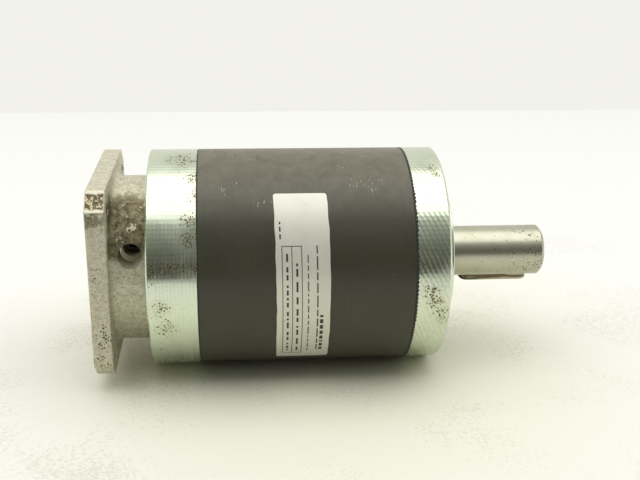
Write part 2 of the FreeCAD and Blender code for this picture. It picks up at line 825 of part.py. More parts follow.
def make_input_hub():
    """The input hub: bearing and seal lands, and a slit collar that clamps the motor shaft."""
    bearing_seat = input_bearing_bore / 2
    land = input_seal_bore / 2
    collar = hub_collar_diameter / 2
    groove = bearing_seat - circlip_depth
    bore = motor_shaft_diameter / 2
    nose = hub_nose_diameter / 2
    hub = turned(
        (x_hub_nose, 0),
        (x_hub_nose, nose),
        (x_input_circlip + circlip_thickness, nose),
        (x_input_circlip + circlip_thickness, bearing_seat),
        (x_input_circlip, bearing_seat),
        (x_input_circlip, groove),
        (x_input_bearing, groove),
        (x_input_bearing, bearing_seat),
        (x_input_bearing_back, bearing_seat),
        (x_input_bearing_back, land),
        (x_hub_collar, land),
        (x_hub_collar, collar - joint_chamfer),
        (x_hub_collar - joint_chamfer, collar),
        (x_hub_back + joint_chamfer, collar),
        (x_hub_back, collar - joint_chamfer),
        (x_hub_back, 0),
    )
    slit = Part.makeBox(
        hub_collar_length + hub_slit_width,
        hub_slit_width,
        collar,
        Vector(x_hub_back, -hub_slit_width / 2, 0),
    )
    undercut = Part.makeBox(
        hub_slit_width,
        2 * collar,
        collar,
        Vector(x_hub_collar, -collar, bore / 2),
    )
    undercut = undercut.common(rod(x_hub_back, x_input_bearing_back, collar))
    across = Vector(0, -1, 0)
    screw = screw_hole(
        clamp_screw_size, clamp_screw_seat, across, collar, clamp_screw_length + clamp_screw_wall
    )
    cuts = [
        rod(x_hub_back, x_motor_bore_end, bore),
        rod(x_motor_bore_end, x_hub_nose, first_sun_shank / 2 + seat_gap),
        slit,
        undercut,
        screw,
    ]
    return hub.cut(cuts)


def make_bearing(name, x_front, width, bore, outside, roller, count):
    """The rings, rollers and cage of one bearing, by node name."""
    rollers = roller_set(x_front, width, bore, outside, roller, count)
    return {
        name + "_bearing_outer_ring": outer_ring(x_front, width, bore, outside, roller),
        name + "_bearing_inner_ring": inner_ring(x_front, width, bore, outside, roller),
        name + "_bearing_rollers": grouped(rollers),
        name + "_bearing_cage": roller_cage(x_front, width, bore, outside, roller, count),
    }


def make_planet_stage(name, teeth, centre, pin_radius, wall, x_front, x_back):
    """The planets, bushes and washers of one stage, by node name."""
    nodes = {}
    gear = planet_gear(teeth, centre, pin_radius + wall + seat_gap, x_back, x_front)
    bush = planet_bush(centre, pin_radius, wall, x_back, x_front)
    for i, planet in enumerate(around(gear, planet_count)):
        nodes[f"{name}_planet_{i + 1}"] = planet
    for i, sleeve in enumerate(around(bush, planet_count)):
        nodes[f"{name}_planet_bush_{i + 1}"] = sleeve
    washers = []
    for washer in washer_pair(centre, pin_radius, x_front, x_back):
        washers += around(washer, planet_count)
    nodes[name + "_thrust_washers"] = grouped(washers)
    return nodes


def make_screws():
    """All screws, by node name."""
    front = socket_screw(
        cover_screw_size,
        front_screw_length,
        Vector(-front_head_depth, front_screw_circle, 0),
        Vector(1, 0, 0),
    )
    rear = socket_screw(
        cover_screw_size,
        rear_screw_length,
        Vector(x_rear_back + rear_head_depth, rear_screw_circle, 0),
        Vector(-1, 0, 0),
    )
    recess_floor = x_plate_back + motor_pilot_depth
    adapter = socket_screw(
        adapter_screw_size,
        adapter_screw_length,
        Vector(recess_floor + adapter_head_depth, adapter_screw_circle, 0),
        Vector(-1, 0, 0),
    )
    return {
        "front_cover_screws": grouped(
            around(front, front_screw_count, 180.0 / front_screw_count)
        ),
        "rear_cover_screws": grouped(around(rear, rear_screw_count)),
        "adapter_screws": grouped(
            around(adapter, adapter_screw_count, 180.0 / adapter_screw_count)
        ),
        "clamp_screw": socket_screw(
            clamp_screw_size, clamp_screw_length, clamp_screw_seat, Vector(0, -1, 0)
        ),
    }


def make_seals_and_clips():
    """Shaft seals, sealing rings, circlips and the bearing spacer, by node name."""
    spigot = inner_bearing_outside / 2
    front_ring = x_cover_back - front_groove_setback - sealing_groove_play
    rear_ring = x_teeth_back - rear_groove_setback - sealing_groove_play
    return {
        "output_shaft_seal": shaft_seal(
            x_output_seal, x_output_seal_back, output_seal_outside / 2, front_bearing_bore / 2
        ),
        "input_shaft_seal": shaft_seal(
            x_input_seal_back, x_input_seal_front, input_seal_outside / 2, input_seal_bore / 2
        ),
        "front_sealing_ring": tube(
            front_ring,
            front_ring - sealing_ring_width,
            spigot - seat_gap,
            spigot - running_gap - sealing_ring_height + seat_gap,
        ),
        "rear_sealing_ring": tube(
            rear_ring,
            rear_ring - sealing_ring_width,
            rear_bore_radius - seat_gap,
            rear_bore_radius - running_gap - sealing_ring_height + seat_gap,
        ),
        "bearing_spacer": tube(
            x_spigot_back, x_inner_bearing, spigot - running_gap, spigot - spacer_wall
        ),
        "front_bearing_bore_circlip": circlip(
            x_front_bearing_back, front_bearing_outside / 2 + circlip_depth - seat_gap, False
        ),
        "input_bearing_bore_circlip": circlip(
            x_input_circlip, input_bearing_outside / 2 + circlip_depth - seat_gap, False
        ),
        "front_bearing_shaft_circlip": circlip(
            x_front_bearing + circlip_thickness,
            front_bearing_bore / 2 - circlip_depth + seat_gap,
            True,
        ),
        "inner_bearing_shaft_circlip": circlip(
            x_inner_bearing + circlip_thickness,
            inner_bearing_bore / 2 - circlip_depth + seat_gap,
            True,
        ),
        "input_bearing_hub_circlip": circlip(
            x_input_circlip, input_bearing_bore / 2 - circlip_depth + seat_gap, True
        ),
        "second_sun_circlip": circlip(
            x_first_window, second_sun_neck / 2 - circlip_depth + seat_gap, True
        ),
    }


def make_nodes():
    """Every sub-part by node name."""
    nodes = {
        "gear_body": make_gear_body(),
        "front_cover": make_front_cover(),
        "rear_cover": make_rear_cover(),
        "motor_adapter": make_motor_adapter(),
        "output_shaft_carrier": make_output_carrier(),
        "output_key": make_output_key(),
        "middle_carrier": make_middle_carrier(),
        "second_sun": make_second_sun(),
        "first_sun": make_first_sun(),
        "input_hub": make_input_hub(),
        "first_planet_pins": planet_pins(
            x_middle_plate, x_middle_carrier_back, first_centre, first_pin_diameter / 2
        ),
        "second_planet_pins": planet_pins(
            x_output_plate, x_output_carrier_back, second_centre, second_pin_diameter / 2
        ),
    }
    nodes.update(
        make_planet_stage(
            "first",
            first_planet_teeth,
            first_centre,
            first_pin_diameter / 2,
            first_bush_wall,
            x_first_gears,
            x_first_gears_back,
        )
    )
    nodes.update(
        make_planet_stage(
            "second",
            second_planet_teeth,
            second_centre,
            second_pin_diameter / 2,
            second_bush_wall,
            x_second_gears,
            x_second_gears_back,
        )
    )
    nodes.update(
        make_bearing(
            "front",
            x_front_bearing,
            front_bearing_width,
            front_bearing_bore,
            front_bearing_outside,
            front_roller_diameter,
            front_roller_count,
        )
    )
    nodes.update(
        make_bearing(
            "inner",
            x_inner_bearing,
            inner_bearing_width,
            inner_bearing_bore,
            inner_bearing_outside,
            inner_roller_diameter,
            inner_roller_count,
        )
    )
    nodes.update(
        make_bearing(
            "input",
            x_input_bearing,
            input_bearing_width,
            input_bearing_bore,
            input_bearing_outside,
            input_roller_diameter,
            input_roller_count,
        )
    )
    nodes.update(make_screws())
    nodes.update(make_seals_and_clips())
    return nodes


os.makedirs("parts", exist_ok=True)
for node, shape in make_nodes().items():
    shape.exportStep(f"parts/{node}.step")
    print(node, len(shape.Solids), round(shape.Volume, 1), shape.isValid())
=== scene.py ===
# %% [markdown]
# # Two-stage planetary gearbox
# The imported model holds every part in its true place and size, in metres, with the axis of the
# gearbox along X. This lesson dresses it: the camera and the table come first, then one material
# for each finish, then the thin pieces that are only there to be seen. The shapes of the parts
# could be remade here, but then they would no longer agree with the joints and the collision
# model, so they are kept and only get their materials.

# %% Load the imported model
import json
import math

import bmesh
import bpy
from mathutils import Matrix, Vector, noise


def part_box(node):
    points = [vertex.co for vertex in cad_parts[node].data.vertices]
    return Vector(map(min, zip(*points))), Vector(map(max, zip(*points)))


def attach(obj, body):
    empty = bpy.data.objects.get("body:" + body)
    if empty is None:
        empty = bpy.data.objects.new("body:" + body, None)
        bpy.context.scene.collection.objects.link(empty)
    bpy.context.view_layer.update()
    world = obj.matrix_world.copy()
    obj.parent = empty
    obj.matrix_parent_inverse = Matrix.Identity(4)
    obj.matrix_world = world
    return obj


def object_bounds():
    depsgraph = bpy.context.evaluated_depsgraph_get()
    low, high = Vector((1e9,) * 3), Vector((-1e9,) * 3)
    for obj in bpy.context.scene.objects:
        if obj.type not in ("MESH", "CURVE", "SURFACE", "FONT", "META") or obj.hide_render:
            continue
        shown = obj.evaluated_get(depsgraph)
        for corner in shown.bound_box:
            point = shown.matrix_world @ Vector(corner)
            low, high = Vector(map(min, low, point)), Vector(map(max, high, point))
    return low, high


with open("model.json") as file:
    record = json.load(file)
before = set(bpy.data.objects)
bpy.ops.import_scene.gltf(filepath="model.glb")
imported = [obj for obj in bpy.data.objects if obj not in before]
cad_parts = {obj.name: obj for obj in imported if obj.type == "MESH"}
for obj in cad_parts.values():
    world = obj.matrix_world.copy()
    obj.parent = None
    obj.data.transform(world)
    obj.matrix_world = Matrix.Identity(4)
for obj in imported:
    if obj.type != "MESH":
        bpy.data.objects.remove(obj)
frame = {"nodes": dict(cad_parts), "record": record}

cad_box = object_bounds()
print("model from", [round(c, 4) for c in cad_box[0]], "to", [round(c, 4) for c in cad_box[1]])

# %% [markdown]
# ## Small helpers
# Colours are picked as sRGB hex values, as a colour picker shows them, and Blender's sockets want
# them linear. Sizes are thought of in millimetres. A shader tree can be clicked together by hand,
# but here one helper adds a node together with its settings and what feeds it, so that a whole
# finish reads from top to bottom. Several sockets of a Math or a Mix node share a name, so they go
# by their numbers. In a Mix node, input 0 is the factor, 2 and 3 are its values, 6 and 7 are its
# colours, and output 2 is the mixed colour.

# %% Colour, size and node helpers
MM = 0.001


def linear(hex_code):
    """The linear colour of an sRGB hex value."""
    parts = [int(hex_code[i:i + 2], 16) / 255 for i in (0, 2, 4)]
    bent = [c / 12.92 if c <= 0.04045 else ((c + 0.055) / 1.055) ** 2.4 for c in parts]
    return bent + [1.0]


def per_mm(size):
    """The texture scale that gives a pattern features of this size in millimetres."""
    return 1.0 / (size * MM)


def add(tree, kind, inputs=None, **settings):
    """Adds a shader node. An input is a number, a colour or the socket that feeds it."""
    made = tree.nodes.new("ShaderNode" + kind)
    for name, value in settings.items():
        setattr(made, name, value)
    for name, value in (inputs or {}).items():
        if isinstance(value, bpy.types.NodeSocket):
            tree.links.new(value, made.inputs[name])
        else:
            made.inputs[name].default_value = value
    return made


def new_finish(name, metallic, roughness):
    """A material, its tree, its main shader and the place on the part in metres."""
    material = bpy.data.materials.new(name)
    material.use_nodes = True
    tree = material.node_tree
    shader = tree.nodes["Principled BSDF"]
    shader.inputs["Metallic"].default_value = metallic
    shader.inputs["Roughness"].default_value = roughness
    place = add(tree, "TexCoord").outputs["Object"]
    return material, tree, shader, place


print("mid grey 808080 is", round(linear("808080")[0], 3), "when linear")

# %% [markdown]
# ## Camera
# The photograph looks down at the gearbox by about twenty degrees, from a little to the left of
# its middle. The place and the turn were found by matching the edges of the plate, the covers and
# the shaft. A camera could also be aimed with a Track To constraint, but plain numbers stay put
# when something else moves.

# %% The photograph's camera
camera_data = bpy.data.cameras.new("camera")
camera_data.lens = 54.29
camera_data.sensor_width = 36.0
camera = bpy.data.objects.new("camera", camera_data)
camera.location = (-0.1007, -0.4524, 0.1676)
camera.rotation_euler = [math.radians(angle) for angle in (70.528, -0.858, -5.373)]
bpy.context.scene.collection.objects.link(camera)
bpy.context.scene.camera = camera
bpy.context.scene.view_settings.view_transform = "Standard"
print("camera", round(camera.location.length, 3), "m from the mounting face")

# %% [markdown]
# ## Table, studio and light
# Polished metal shows its surroundings more than its own colour, so the studio decides how it
# looks. In the photograph the covers are white on top, where they mirror the lamp overhead, dark
# across the middle, where they mirror the unlit room behind the camera, and cream below, where
# they mirror the table. So there is a long soft lamp overhead, a dark screen behind the camera and
# a pale table. The screen grows paler towards its top, as the room's wall does near its lamps. An
# image of a studio round the scene would do the same, but three plain things are easier to adjust.

# %% Flat panels and the table
def placed(name, shape):
    """Turns a finished bmesh into an object of the scene."""
    data = bpy.data.meshes.new(name)
    shape.to_mesh(data)
    shape.free()
    made = bpy.data.objects.new(name, data)
    bpy.context.scene.collection.objects.link(made)
    return made


def flat_panel(name, width, depth, turn, centre):
    """A flat rectangle that isn't part of the object. Sizes and place in metres, turn in degrees."""
    panel = bmesh.new()
    bmesh.ops.create_grid(panel, x_segments=1, y_segments=1, size=0.5)
    bmesh.ops.scale(panel, vec=(width, depth, 1.0), verts=panel.verts)
    tilted = Matrix.Rotation(math.radians(turn), 3, "X")
    bmesh.ops.rotate(panel, cent=(0, 0, 0), matrix=tilted, verts=panel.verts)
    bmesh.ops.translate(panel, vec=centre, verts=panel.verts)
    made = placed(name, panel)
    return made


table_height = cad_box[0].z
table = flat_panel("table", 3.2, 1.2, 0, (-0.06, -0.01, table_height))
print("table at", round(table_height, 4), "m")

# %% Table paper with a painted warm shade tint near the part, and a little grit round it
table_paper, tree, shader, place = new_finish("white_table_paper", 0.0, 0.75)
under_part = (-0.05, -0.02, table_height)
away = add(tree, "VectorMath", {0: place, 1: under_part}, operation="DISTANCE").outputs["Value"]
# The cream tint close to the part is painted shade: it stands in for the warm shade round the part and the
# light the part throws back. The grit round it is dirt on the paper
near = add(tree, "MapRange", {"Value": away, "From Min": 0.05, "From Max": 0.22})
painted_shade_tint = {0: near.outputs["Result"], 6: linear("EBEAD7"), 7: linear("EBEBE9")}
paper_with_painted_tint = add(tree, "Mix", painted_shade_tint, data_type="RGBA")
grit = add(tree, "TexNoise", {"Vector": place, "Scale": per_mm(1.3), "Detail": 3.0})
drift = add(tree, "TexNoise", {"Vector": place, "Scale": per_mm(60.0), "Detail": 3.0})
amount = add(tree, "Math", {0: grit.outputs["Fac"], 1: drift.outputs["Fac"]})
sprinkled = {"Value": amount.outputs[0], "From Min": 1.06, "From Max": 1.3, "To Max": 0.4}
sprinkle = add(tree, "MapRange", sprinkled).outputs["Result"]
fade = add(tree, "MapRange", {"Value": away, "From Min": 0.34, "From Max": 0.12}).outputs["Result"]
marks = add(tree, "Math", {0: sprinkle, 1: fade}, operation="MULTIPLY")
gritty = {0: marks.outputs[0], 6: paper_with_painted_tint.outputs[2], 7: linear("B4AF90")}
soiled = add(tree, "Mix", gritty, data_type="RGBA")
tree.links.new(soiled.outputs[2], shader.inputs["Base Color"])
table.data.materials.append(table_paper)
print(table_paper.name, len(tree.nodes), "nodes")

# %% Room light and overhead lamp
world = bpy.data.worlds.new("studio")
bpy.context.scene.world = world
world.use_nodes = True
world.node_tree.nodes["Background"].inputs["Color"].default_value = linear("F2F1EC")
world.node_tree.nodes["Background"].inputs["Strength"].default_value = 1.0

lamp_data = bpy.data.lights.new("overhead_softbox", "AREA")
lamp_data.shape = "RECTANGLE"
lamp_data.size = 3.6
lamp_data.size_y = 1.3
lamp_data.energy = 17.2
lamp = bpy.data.objects.new("overhead_softbox", lamp_data)
lamp.location = (-0.06, -0.1, 1.25)
lamp.visible_camera = False
bpy.context.scene.collection.objects.link(lamp)
print("lamp", lamp_data.size, "by", lamp_data.size_y, "m")

# %% Dark screen behind the camera
screen = flat_panel("dark_screen", 5.2, 2.9, 90, (-0.06, -1.25, 0.62))
screen.visible_camera = False
screen_cloth, tree, shader, place = new_finish("grey_screen_cloth", 0.0, 0.9)
parts = add(tree, "SeparateXYZ", {0: place})
rise = add(tree, "MapRange", {"Value": parts.outputs["Z"], "From Min": 0.0, "From Max": 2.0})
swell = add(tree, "Math", {0: rise.outputs["Result"], 1: 1.5}, operation="POWER")
shade = {0: swell.outputs[0], 6: linear("3F3D35"), 7: linear("C8CDCC")}
cloth = add(tree, "Mix", shade, data_type="RGBA")
tree.links.new(cloth.outputs[2], shader.inputs["Base Color"])
screen.data.materials.append(screen_cloth)
print(screen.name, "with", screen_cloth.name)

# %% [markdown]
# ## Marks of the lathe
# A lathe leaves fine lines round the axis, on the rims and on the faces alike. The distance along
# the axis plus the distance from it changes across both kinds of surface, so noise that is
# squeezed along that one number and stretched along the others gives the lines everywhere. The
# real lines are a tenth or two of a millimetre apart, too fine to show, so they are drawn coarser,
# up to about a millimetre apart. Where the tool shook, it left waves as well, round the axis or
# leaning. A Wave texture draws rings too, but only evenly spaced ones, and it can't lean them
# round a rim.

# %% Turning marks and waves
body_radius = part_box("gear_body")[1].z


def off_axis(tree, place):
    """The place in its three parts, and its distance from the axis."""
    parts = add(tree, "SeparateXYZ", {0: place})
    across = add(tree, "CombineXYZ", {"Y": parts.outputs["Y"], "Z": parts.outputs["Z"]})
    radius = add(tree, "VectorMath", {0: across.outputs[0]}, operation="LENGTH")
    return parts.outputs, radius.outputs["Value"]


def turning_marks(tree, place, spacing, reach):
    """Lines round the axis as values about 0.5. Both sizes are in millimetres."""
    parts, radius = off_axis(tree, place)
    along = add(tree, "Math", {0: parts["X"], 1: radius})
    laid = add(tree, "CombineXYZ", {"X": along.outputs[0], "Y": parts["Y"], "Z": parts["Z"]})
    sizes = (per_mm(spacing), per_mm(reach), per_mm(reach))
    squeezed = add(tree, "VectorMath", {0: laid.outputs[0], 1: sizes}, operation="MULTIPLY")
    lines = add(tree, "TexNoise", {"Vector": squeezed.outputs[0], "Scale": 1.0, "Detail": 2.0})
    return lines.outputs["Fac"]


def waves(tree, place, in_a_turn, in_a_mm, height):
    """Waves on the rim only, so many in a turn and so many in a millimetre, with a height in mm."""
    parts, radius = off_axis(tree, place)
    angle = add(tree, "Math", {0: parts["Y"], 1: parts["Z"]}, operation="ARCTAN2")
    around = add(tree, "Math", {0: angle.outputs[0], 1: in_a_turn}, operation="MULTIPLY")
    lean = {0: parts["X"], 1: math.tau * in_a_mm / MM, 2: around.outputs[0]}
    phase = add(tree, "Math", lean, operation="MULTIPLY_ADD")
    wave = add(tree, "Math", {0: phase.outputs[0]}, operation="SINE")
    rim_starts = body_radius - 1.5 * MM
    rim_is_full = body_radius - 0.3 * MM
    rim = {"Value": radius, "From Min": rim_starts, "From Max": rim_is_full, "To Max": height}
    on_rim = add(tree, "MapRange", rim)
    kept = {0: wave.outputs[0], 1: on_rim.outputs["Result"]}
    return add(tree, "Math", kept, operation="MULTIPLY").outputs[0]


print("lathe marks ready for a body of radius", round(body_radius, 4))

# %% [markdown]
# ## Dirt, rust and nicks
# They come in patches: fine noise that only shows where a coarse noise is high, or near a spot
# that was soiled. Dried spatter is rounder, so its dots are drawn in the cells of a Voronoi
# texture, which also gives each cell a chance of its own to hold a dot. The spots could be painted
# by hand on an image, but numbers in the script are easy to move.

# %% Patches, specks and dots
spot_strength = 0.9


def patches(tree, place, spots):
    """1 in the middle of a spot and 0 from its rim on. A spot is x, y, z and radius in mm."""
    deepest = 0.0
    for x, y, z, radius in spots:
        middle = (x * MM, y * MM, z * MM)
        away = add(tree, "VectorMath", {0: place, 1: middle}, operation="DISTANCE")
        fade = {"Value": away.outputs["Value"], "From Min": radius * MM, "From Max": 0.0}
        inside = add(tree, "MapRange", fade).outputs["Result"]
        deepest = add(tree, "Math", {0: inside, 1: deepest}, operation="MAXIMUM").outputs[0]
    return deepest


def specks(tree, place, size, patch, level, soil=0.0):
    """Ragged spots on 0, of a size in patches, in mm. A higher level leaves fewer, soil adds some."""
    soil_weight = 0.33
    soft_rim = 0.08
    fine = add(tree, "TexNoise", {"Vector": place, "Scale": per_mm(size), "Detail": 3.0})
    coarse = add(tree, "TexNoise", {"Vector": place, "Scale": per_mm(patch), "Detail": 1.0})
    total = add(tree, "Math", {0: fine.outputs["Fac"], 1: coarse.outputs["Fac"]})
    pushed = {0: soil, 1: soil_weight, 2: total.outputs[0]}
    soiled = add(tree, "Math", pushed, operation="MULTIPLY_ADD")
    cut = {"From Min": level, "From Max": level + soft_rim, "To Max": spot_strength}
    return add(tree, "MapRange", {"Value": soiled.outputs[0], **cut}).outputs["Result"]


def dots(tree, place, spacing, patch, level, soil=0.0):
    """Round dots on 0, one in a cell of this spacing at most. The rest is as for specks."""
    soil_weight = 0.9
    room_to_grow = 0.6
    largest = 0.5
    soft_rim = 0.1
    cells = add(tree, "TexVoronoi", {"Vector": place, "Scale": per_mm(spacing)})
    chance = add(tree, "SeparateColor", {0: cells.outputs["Color"]})
    coarse = add(tree, "TexNoise", {"Vector": place, "Scale": per_mm(patch), "Detail": 2.0})
    drawn = add(tree, "Math", {0: coarse.outputs["Fac"], 1: chance.outputs["Red"]})
    pushed = {0: soil, 1: soil_weight, 2: drawn.outputs[0]}
    soiled = add(tree, "Math", pushed, operation="MULTIPLY_ADD")
    growth = {"From Min": level, "From Max": level + room_to_grow, "To Max": largest}
    reach = add(tree, "MapRange", {"Value": soiled.outputs[0], **growth}).outputs["Result"]
    inside = add(tree, "Math", {0: reach, 1: cells.outputs["Distance"]}, operation="SUBTRACT")
    cut = {"From Min": 0.0, "From Max": soft_rim, "To Max": spot_strength}
    return add(tree, "MapRange", {"Value": inside.outputs[0], **cut}).outputs["Result"]


finishes = {}
print("spots cover up to", spot_strength, "of what lies under them")

# %% [markdown]
# ## Blackened steel
# The body is a turned steel tube that was dipped in a hot salt bath, which leaves a thin layer of
# black oxide. The layer is satin and olive black, and it hides the steel's mirror, so it shines
# like a dark mineral and not like a metal. Paint would look much the same, but it would fill the
# lathe's lines.

# %% Black oxide
black_oxide, tree, shader, place = new_finish("black_oxide_steel", 0.12, 0.42)
cloud = add(tree, "TexNoise", {"Vector": place, "Scale": per_mm(22.0), "Detail": 6.0})
mottle = {0: cloud.outputs["Fac"], 6: linear("38382C"), 7: linear("424134")}
tint = add(tree, "Mix", mottle, data_type="RGBA")
lines = turning_marks(tree, place, 0.9, 50.0)
faint = add(tree, "MapRange", {"Value": lines, "From Min": 0.35, "From Max": 0.75, "To Max": 0.15})
lined = {0: faint.outputs["Result"], 6: tint.outputs[2], 7: linear("57553F")}
banded = add(tree, "Mix", lined, data_type="RGBA")
gloss = {"From Min": 0.3, "From Max": 0.7, "To Min": 0.34, "To Max": 0.52}
rough = add(tree, "MapRange", {"Value": cloud.outputs["Fac"], **gloss})
bump = add(tree, "Bump", {"Height": lines, "Strength": 0.5, "Distance": 0.012 * MM})
tree.links.new(rough.outputs["Result"], shader.inputs["Roughness"])
tree.links.new(bump.outputs["Normal"], shader.inputs["Normal"])
finishes["black_steel"] = black_oxide
print(black_oxide.name, "with", len(tree.nodes), "nodes before its wear")

# %% [markdown]
# ## Wear on the body
# Pale dust lies on the upper side, and this paleness is partly dust and partly painted light from the lamp
# above. The oxide is so thin that scratches and nicks go through it and show the steel, and here and there
# a pit is darker than the rest. The scratches run round the body, so their noise is stretched across the
# axis with a Mapping node. Each kind is mixed over the one before. An image could hold them all, but it
# would have to be fitted to the round body.

# %% Dust and painted top light, scratches, nicks and pits
parts = add(tree, "SeparateXYZ", {0: place})
# Paler towards the top: partly dust, partly painted light from the lamp above
upper = {"From Min": 31 * MM, "From Max": body_radius, "To Max": 0.6}
top_dust_and_painted_light = add(tree, "MapRange", {"Value": parts.outputs["Z"], **upper})
film = add(tree, "TexNoise", {"Vector": place, "Scale": per_mm(7.0), "Detail": 7.0, "Roughness": 0.7})
dust = add(tree, "Math", {0: top_dust_and_painted_light.outputs["Result"], 1: film.outputs["Fac"]}, operation="MULTIPLY")
dust_and_painted_top_light = {0: dust.outputs[0], 6: banded.outputs[2], 7: linear("A9A28B")}
dusty = add(tree, "Mix", dust_and_painted_top_light, data_type="RGBA")
streaked = {"Vector": place, "Rotation": (0.5, 0.3, 0.2), "Scale": (1.0, 0.2, 0.2)}
scratch_space = add(tree, "Mapping", streaked).outputs["Vector"]
scratches = specks(tree, scratch_space, 0.5, 9.0, 1.38)
scuffs = [(-48, -18, 49, 4), (-42, -29, 44, 7), (-34, -28, 44, 6), (-34, -32, 42, 5)]
scuffs += [(-88, -37, 38, 3), (-85, -36, 38, 4), (-82, -36, 38, 4)]
scuffs += [(-104, -31, 43, 4), (-97, -27, 45, 3)]
nicks = dots(tree, scratch_space, 0.5, 3.0, 1.42, patches(tree, place, scuffs))
bare = add(tree, "Math", {0: scratches, 1: nicks}, operation="MAXIMUM")
scratched = {0: bare.outputs[0], 6: dusty.outputs[2], 7: linear("A5A18D")}
worn = add(tree, "Mix", scratched, data_type="RGBA")
pitted_near = [(-104, -2, 52, 7), (-97, -5, 52, 6), (-88, -8, 52, 5), (-62, -9, 52, 5)]
pitted_near += [(-50, -6, 52, 4)]
pits = dots(tree, place, 1.2, 8.0, 1.3, patches(tree, place, pitted_near))
pitted = {0: pits, 6: worn.outputs[2], 7: linear("2E2B23")}
grimy = add(tree, "Mix", pitted, data_type="RGBA")
tree.links.new(grimy.outputs[2], shader.inputs["Base Color"])
print(black_oxide.name, "with", len(tree.nodes), "nodes in all")

# %% [markdown]
# ## Zinc-plated steel
# Both covers were turned and then electroplated with bright zinc, which has a faint green-yellow
# cast from its passivation. It mirrors strongly, but the tool's marks under the thin plating break
# the mirror image. The rear cover has straight ripples and wide feed lines, and the front cover
# has ripples that lean, where the tool shook. A displaced mesh could hold these waves too, but
# they are at most a few hundredths of a millimetre high, and a bump map turns the mirror image
# just as much.

# %% Relief under the plating
ripples_in_a_turn = 150


def turned_relief(tree, place, tool_marks):
    """The relief in millimetres, and how far down in a furrow a point is, from 0 to 1.

    A tool mark is waves in a turn, waves in a millimetre and their height in millimetres."""
    line_height = 0.012
    lines = turning_marks(tree, place, 1.1, 45.0)
    relief = add(tree, "Math", {0: lines, 1: line_height}, operation="MULTIPLY").outputs[0]
    for in_a_turn, in_a_mm, height in tool_marks:
        wave = waves(tree, place, in_a_turn, in_a_mm, height)
        relief = add(tree, "Math", {0: relief, 1: wave}).outputs[0]
    depth = sum(height for in_a_turn, in_a_mm, height in tool_marks)
    furrow = add(tree, "MapRange", {"Value": relief, "From Min": depth * 0.6, "From Max": -depth})
    return relief, furrow.outputs["Result"]


print(ripples_in_a_turn, "ripples in a turn")

# %% [markdown]
# ## Soil on the zinc
# Fingerprints and dirt lie on the covers as a thin yellow wash, with brown dots and finer dark
# dots in it. The brown dots are dull where the zinc is bright, so their mask also makes the
# surface rough. Dirt could be tiny meshes too, but it has no thickness that the eye can see.

# %% Wash, dirt and dust
def soiled_colour(tree, place, colour, spots):
    """Lays soil over a colour, mostly near the spots. Gives the colour and where the dirt is."""
    soil = patches(tree, place, spots)
    thin = add(tree, "Math", {0: soil, 1: 0.25}, operation="MULTIPLY")
    washed = {0: thin.outputs[0], 6: colour, 7: linear("A39B6C")}
    wash = add(tree, "Mix", washed, data_type="RGBA")
    dirt = dots(tree, place, 1.1, 5.0, 1.24, soil)
    stained = {0: dirt, 6: wash.outputs[2], 7: linear("675B3B")}
    dirty = add(tree, "Mix", stained, data_type="RGBA")
    dust = dots(tree, place, 0.7, 12.0, 1.38, soil)
    spotted = {0: dust, 6: dirty.outputs[2], 7: linear("4A4636")}
    dusty = add(tree, "Mix", spotted, data_type="RGBA")
    return dusty.outputs[2], dirt


smudge_line = [(x, -50.9, 12.6, 4.2) for x in (-135, -131, -127, -124, -121, -117)]
rear_spots = [(-122, -9, 52, 11), (-117, -11, 51, 6), (-117, -25, 46, 6), (-116, -33, 41, 6)]
rear_spots += [(-118, -42, 32, 7), (-119, -46, 25, 6), (-132, -52, -6, 7), (-130, -50, -17, 7)]
front_spots = [(-6, -20, 49, 5), (-4, -24, 47, 4), (-9, -52, 0, 8), (-7, -52, -5, 8)]
front_spots += [(-5, -51, -10, 7), (-3, -50, -15, 6)]
print(len(rear_spots + smudge_line), "soiled spots behind and", len(front_spots), "in front")

# %% Bright zinc
def zinc_plating(name, tool_marks, spots):
    """Bright zinc over turned steel, with its tool marks and its soiled spots."""
    material, tree, shader, place = new_finish(name, 1.0, 0.2)
    cloud = add(tree, "TexNoise", {"Vector": place, "Scale": per_mm(16.0), "Detail": 5.0})
    relief, furrow = turned_relief(tree, place, tool_marks)
    mottle = {0: cloud.outputs["Fac"], 6: linear("CCD5BD"), 7: linear("E2EAD8")}
    tint = add(tree, "Mix", mottle, data_type="RGBA")
    # Darker in the furrows of the tool marks: painted shade
    faint = add(tree, "Math", {0: furrow, 1: 0.14}, operation="MULTIPLY")
    furrow_painted_shade = {0: faint.outputs[0], 6: tint.outputs[2], 7: linear("A9A98A")}
    lined = add(tree, "Mix", furrow_painted_shade, data_type="RGBA")

    # The relief of the ripples hardly shows under the lamp, so on the upper side they are also drawn as
    # painted shade
    parts = add(tree, "SeparateXYZ", {0: place})
    upper = {"From Min": 15 * MM, "From Max": 30 * MM, "To Max": 0.3}
    painted_ripple_shade_on_top = add(tree, "MapRange", {"Value": parts.outputs["Z"], **upper}).outputs["Result"]
    ripple = waves(tree, place, ripples_in_a_turn, 0.0, 1.0)
    shown = add(tree, "Math", {0: ripple, 1: painted_ripple_shade_on_top}, operation="MULTIPLY")
    ripple_painted_shade = {0: shown.outputs[0], 6: lined.outputs[2], 7: linear("99A083")}
    combed = add(tree, "Mix", ripple_painted_shade, data_type="RGBA")

    colour, dirt = soiled_colour(tree, place, combed.outputs[2], spots)
    hazy = {"From Min": 0.35, "From Max": 0.7, "To Min": 0.14, "To Max": 0.3}
    haze = add(tree, "MapRange", {"Value": cloud.outputs["Fac"], **hazy})
    torn = {0: furrow, 1: 0.16, 2: haze.outputs["Result"]}
    satin = add(tree, "Math", torn, operation="MULTIPLY_ADD")
    dull = add(tree, "Mix", {0: dirt, 2: satin.outputs[0], 3: 0.6})
    bump = add(tree, "Bump", {"Height": relief, "Strength": 1.0, "Distance": MM})
    tree.links.new(colour, shader.inputs["Base Color"])
    tree.links.new(dull.outputs[0], shader.inputs["Roughness"])
    tree.links.new(bump.outputs["Normal"], shader.inputs["Normal"])
    return material


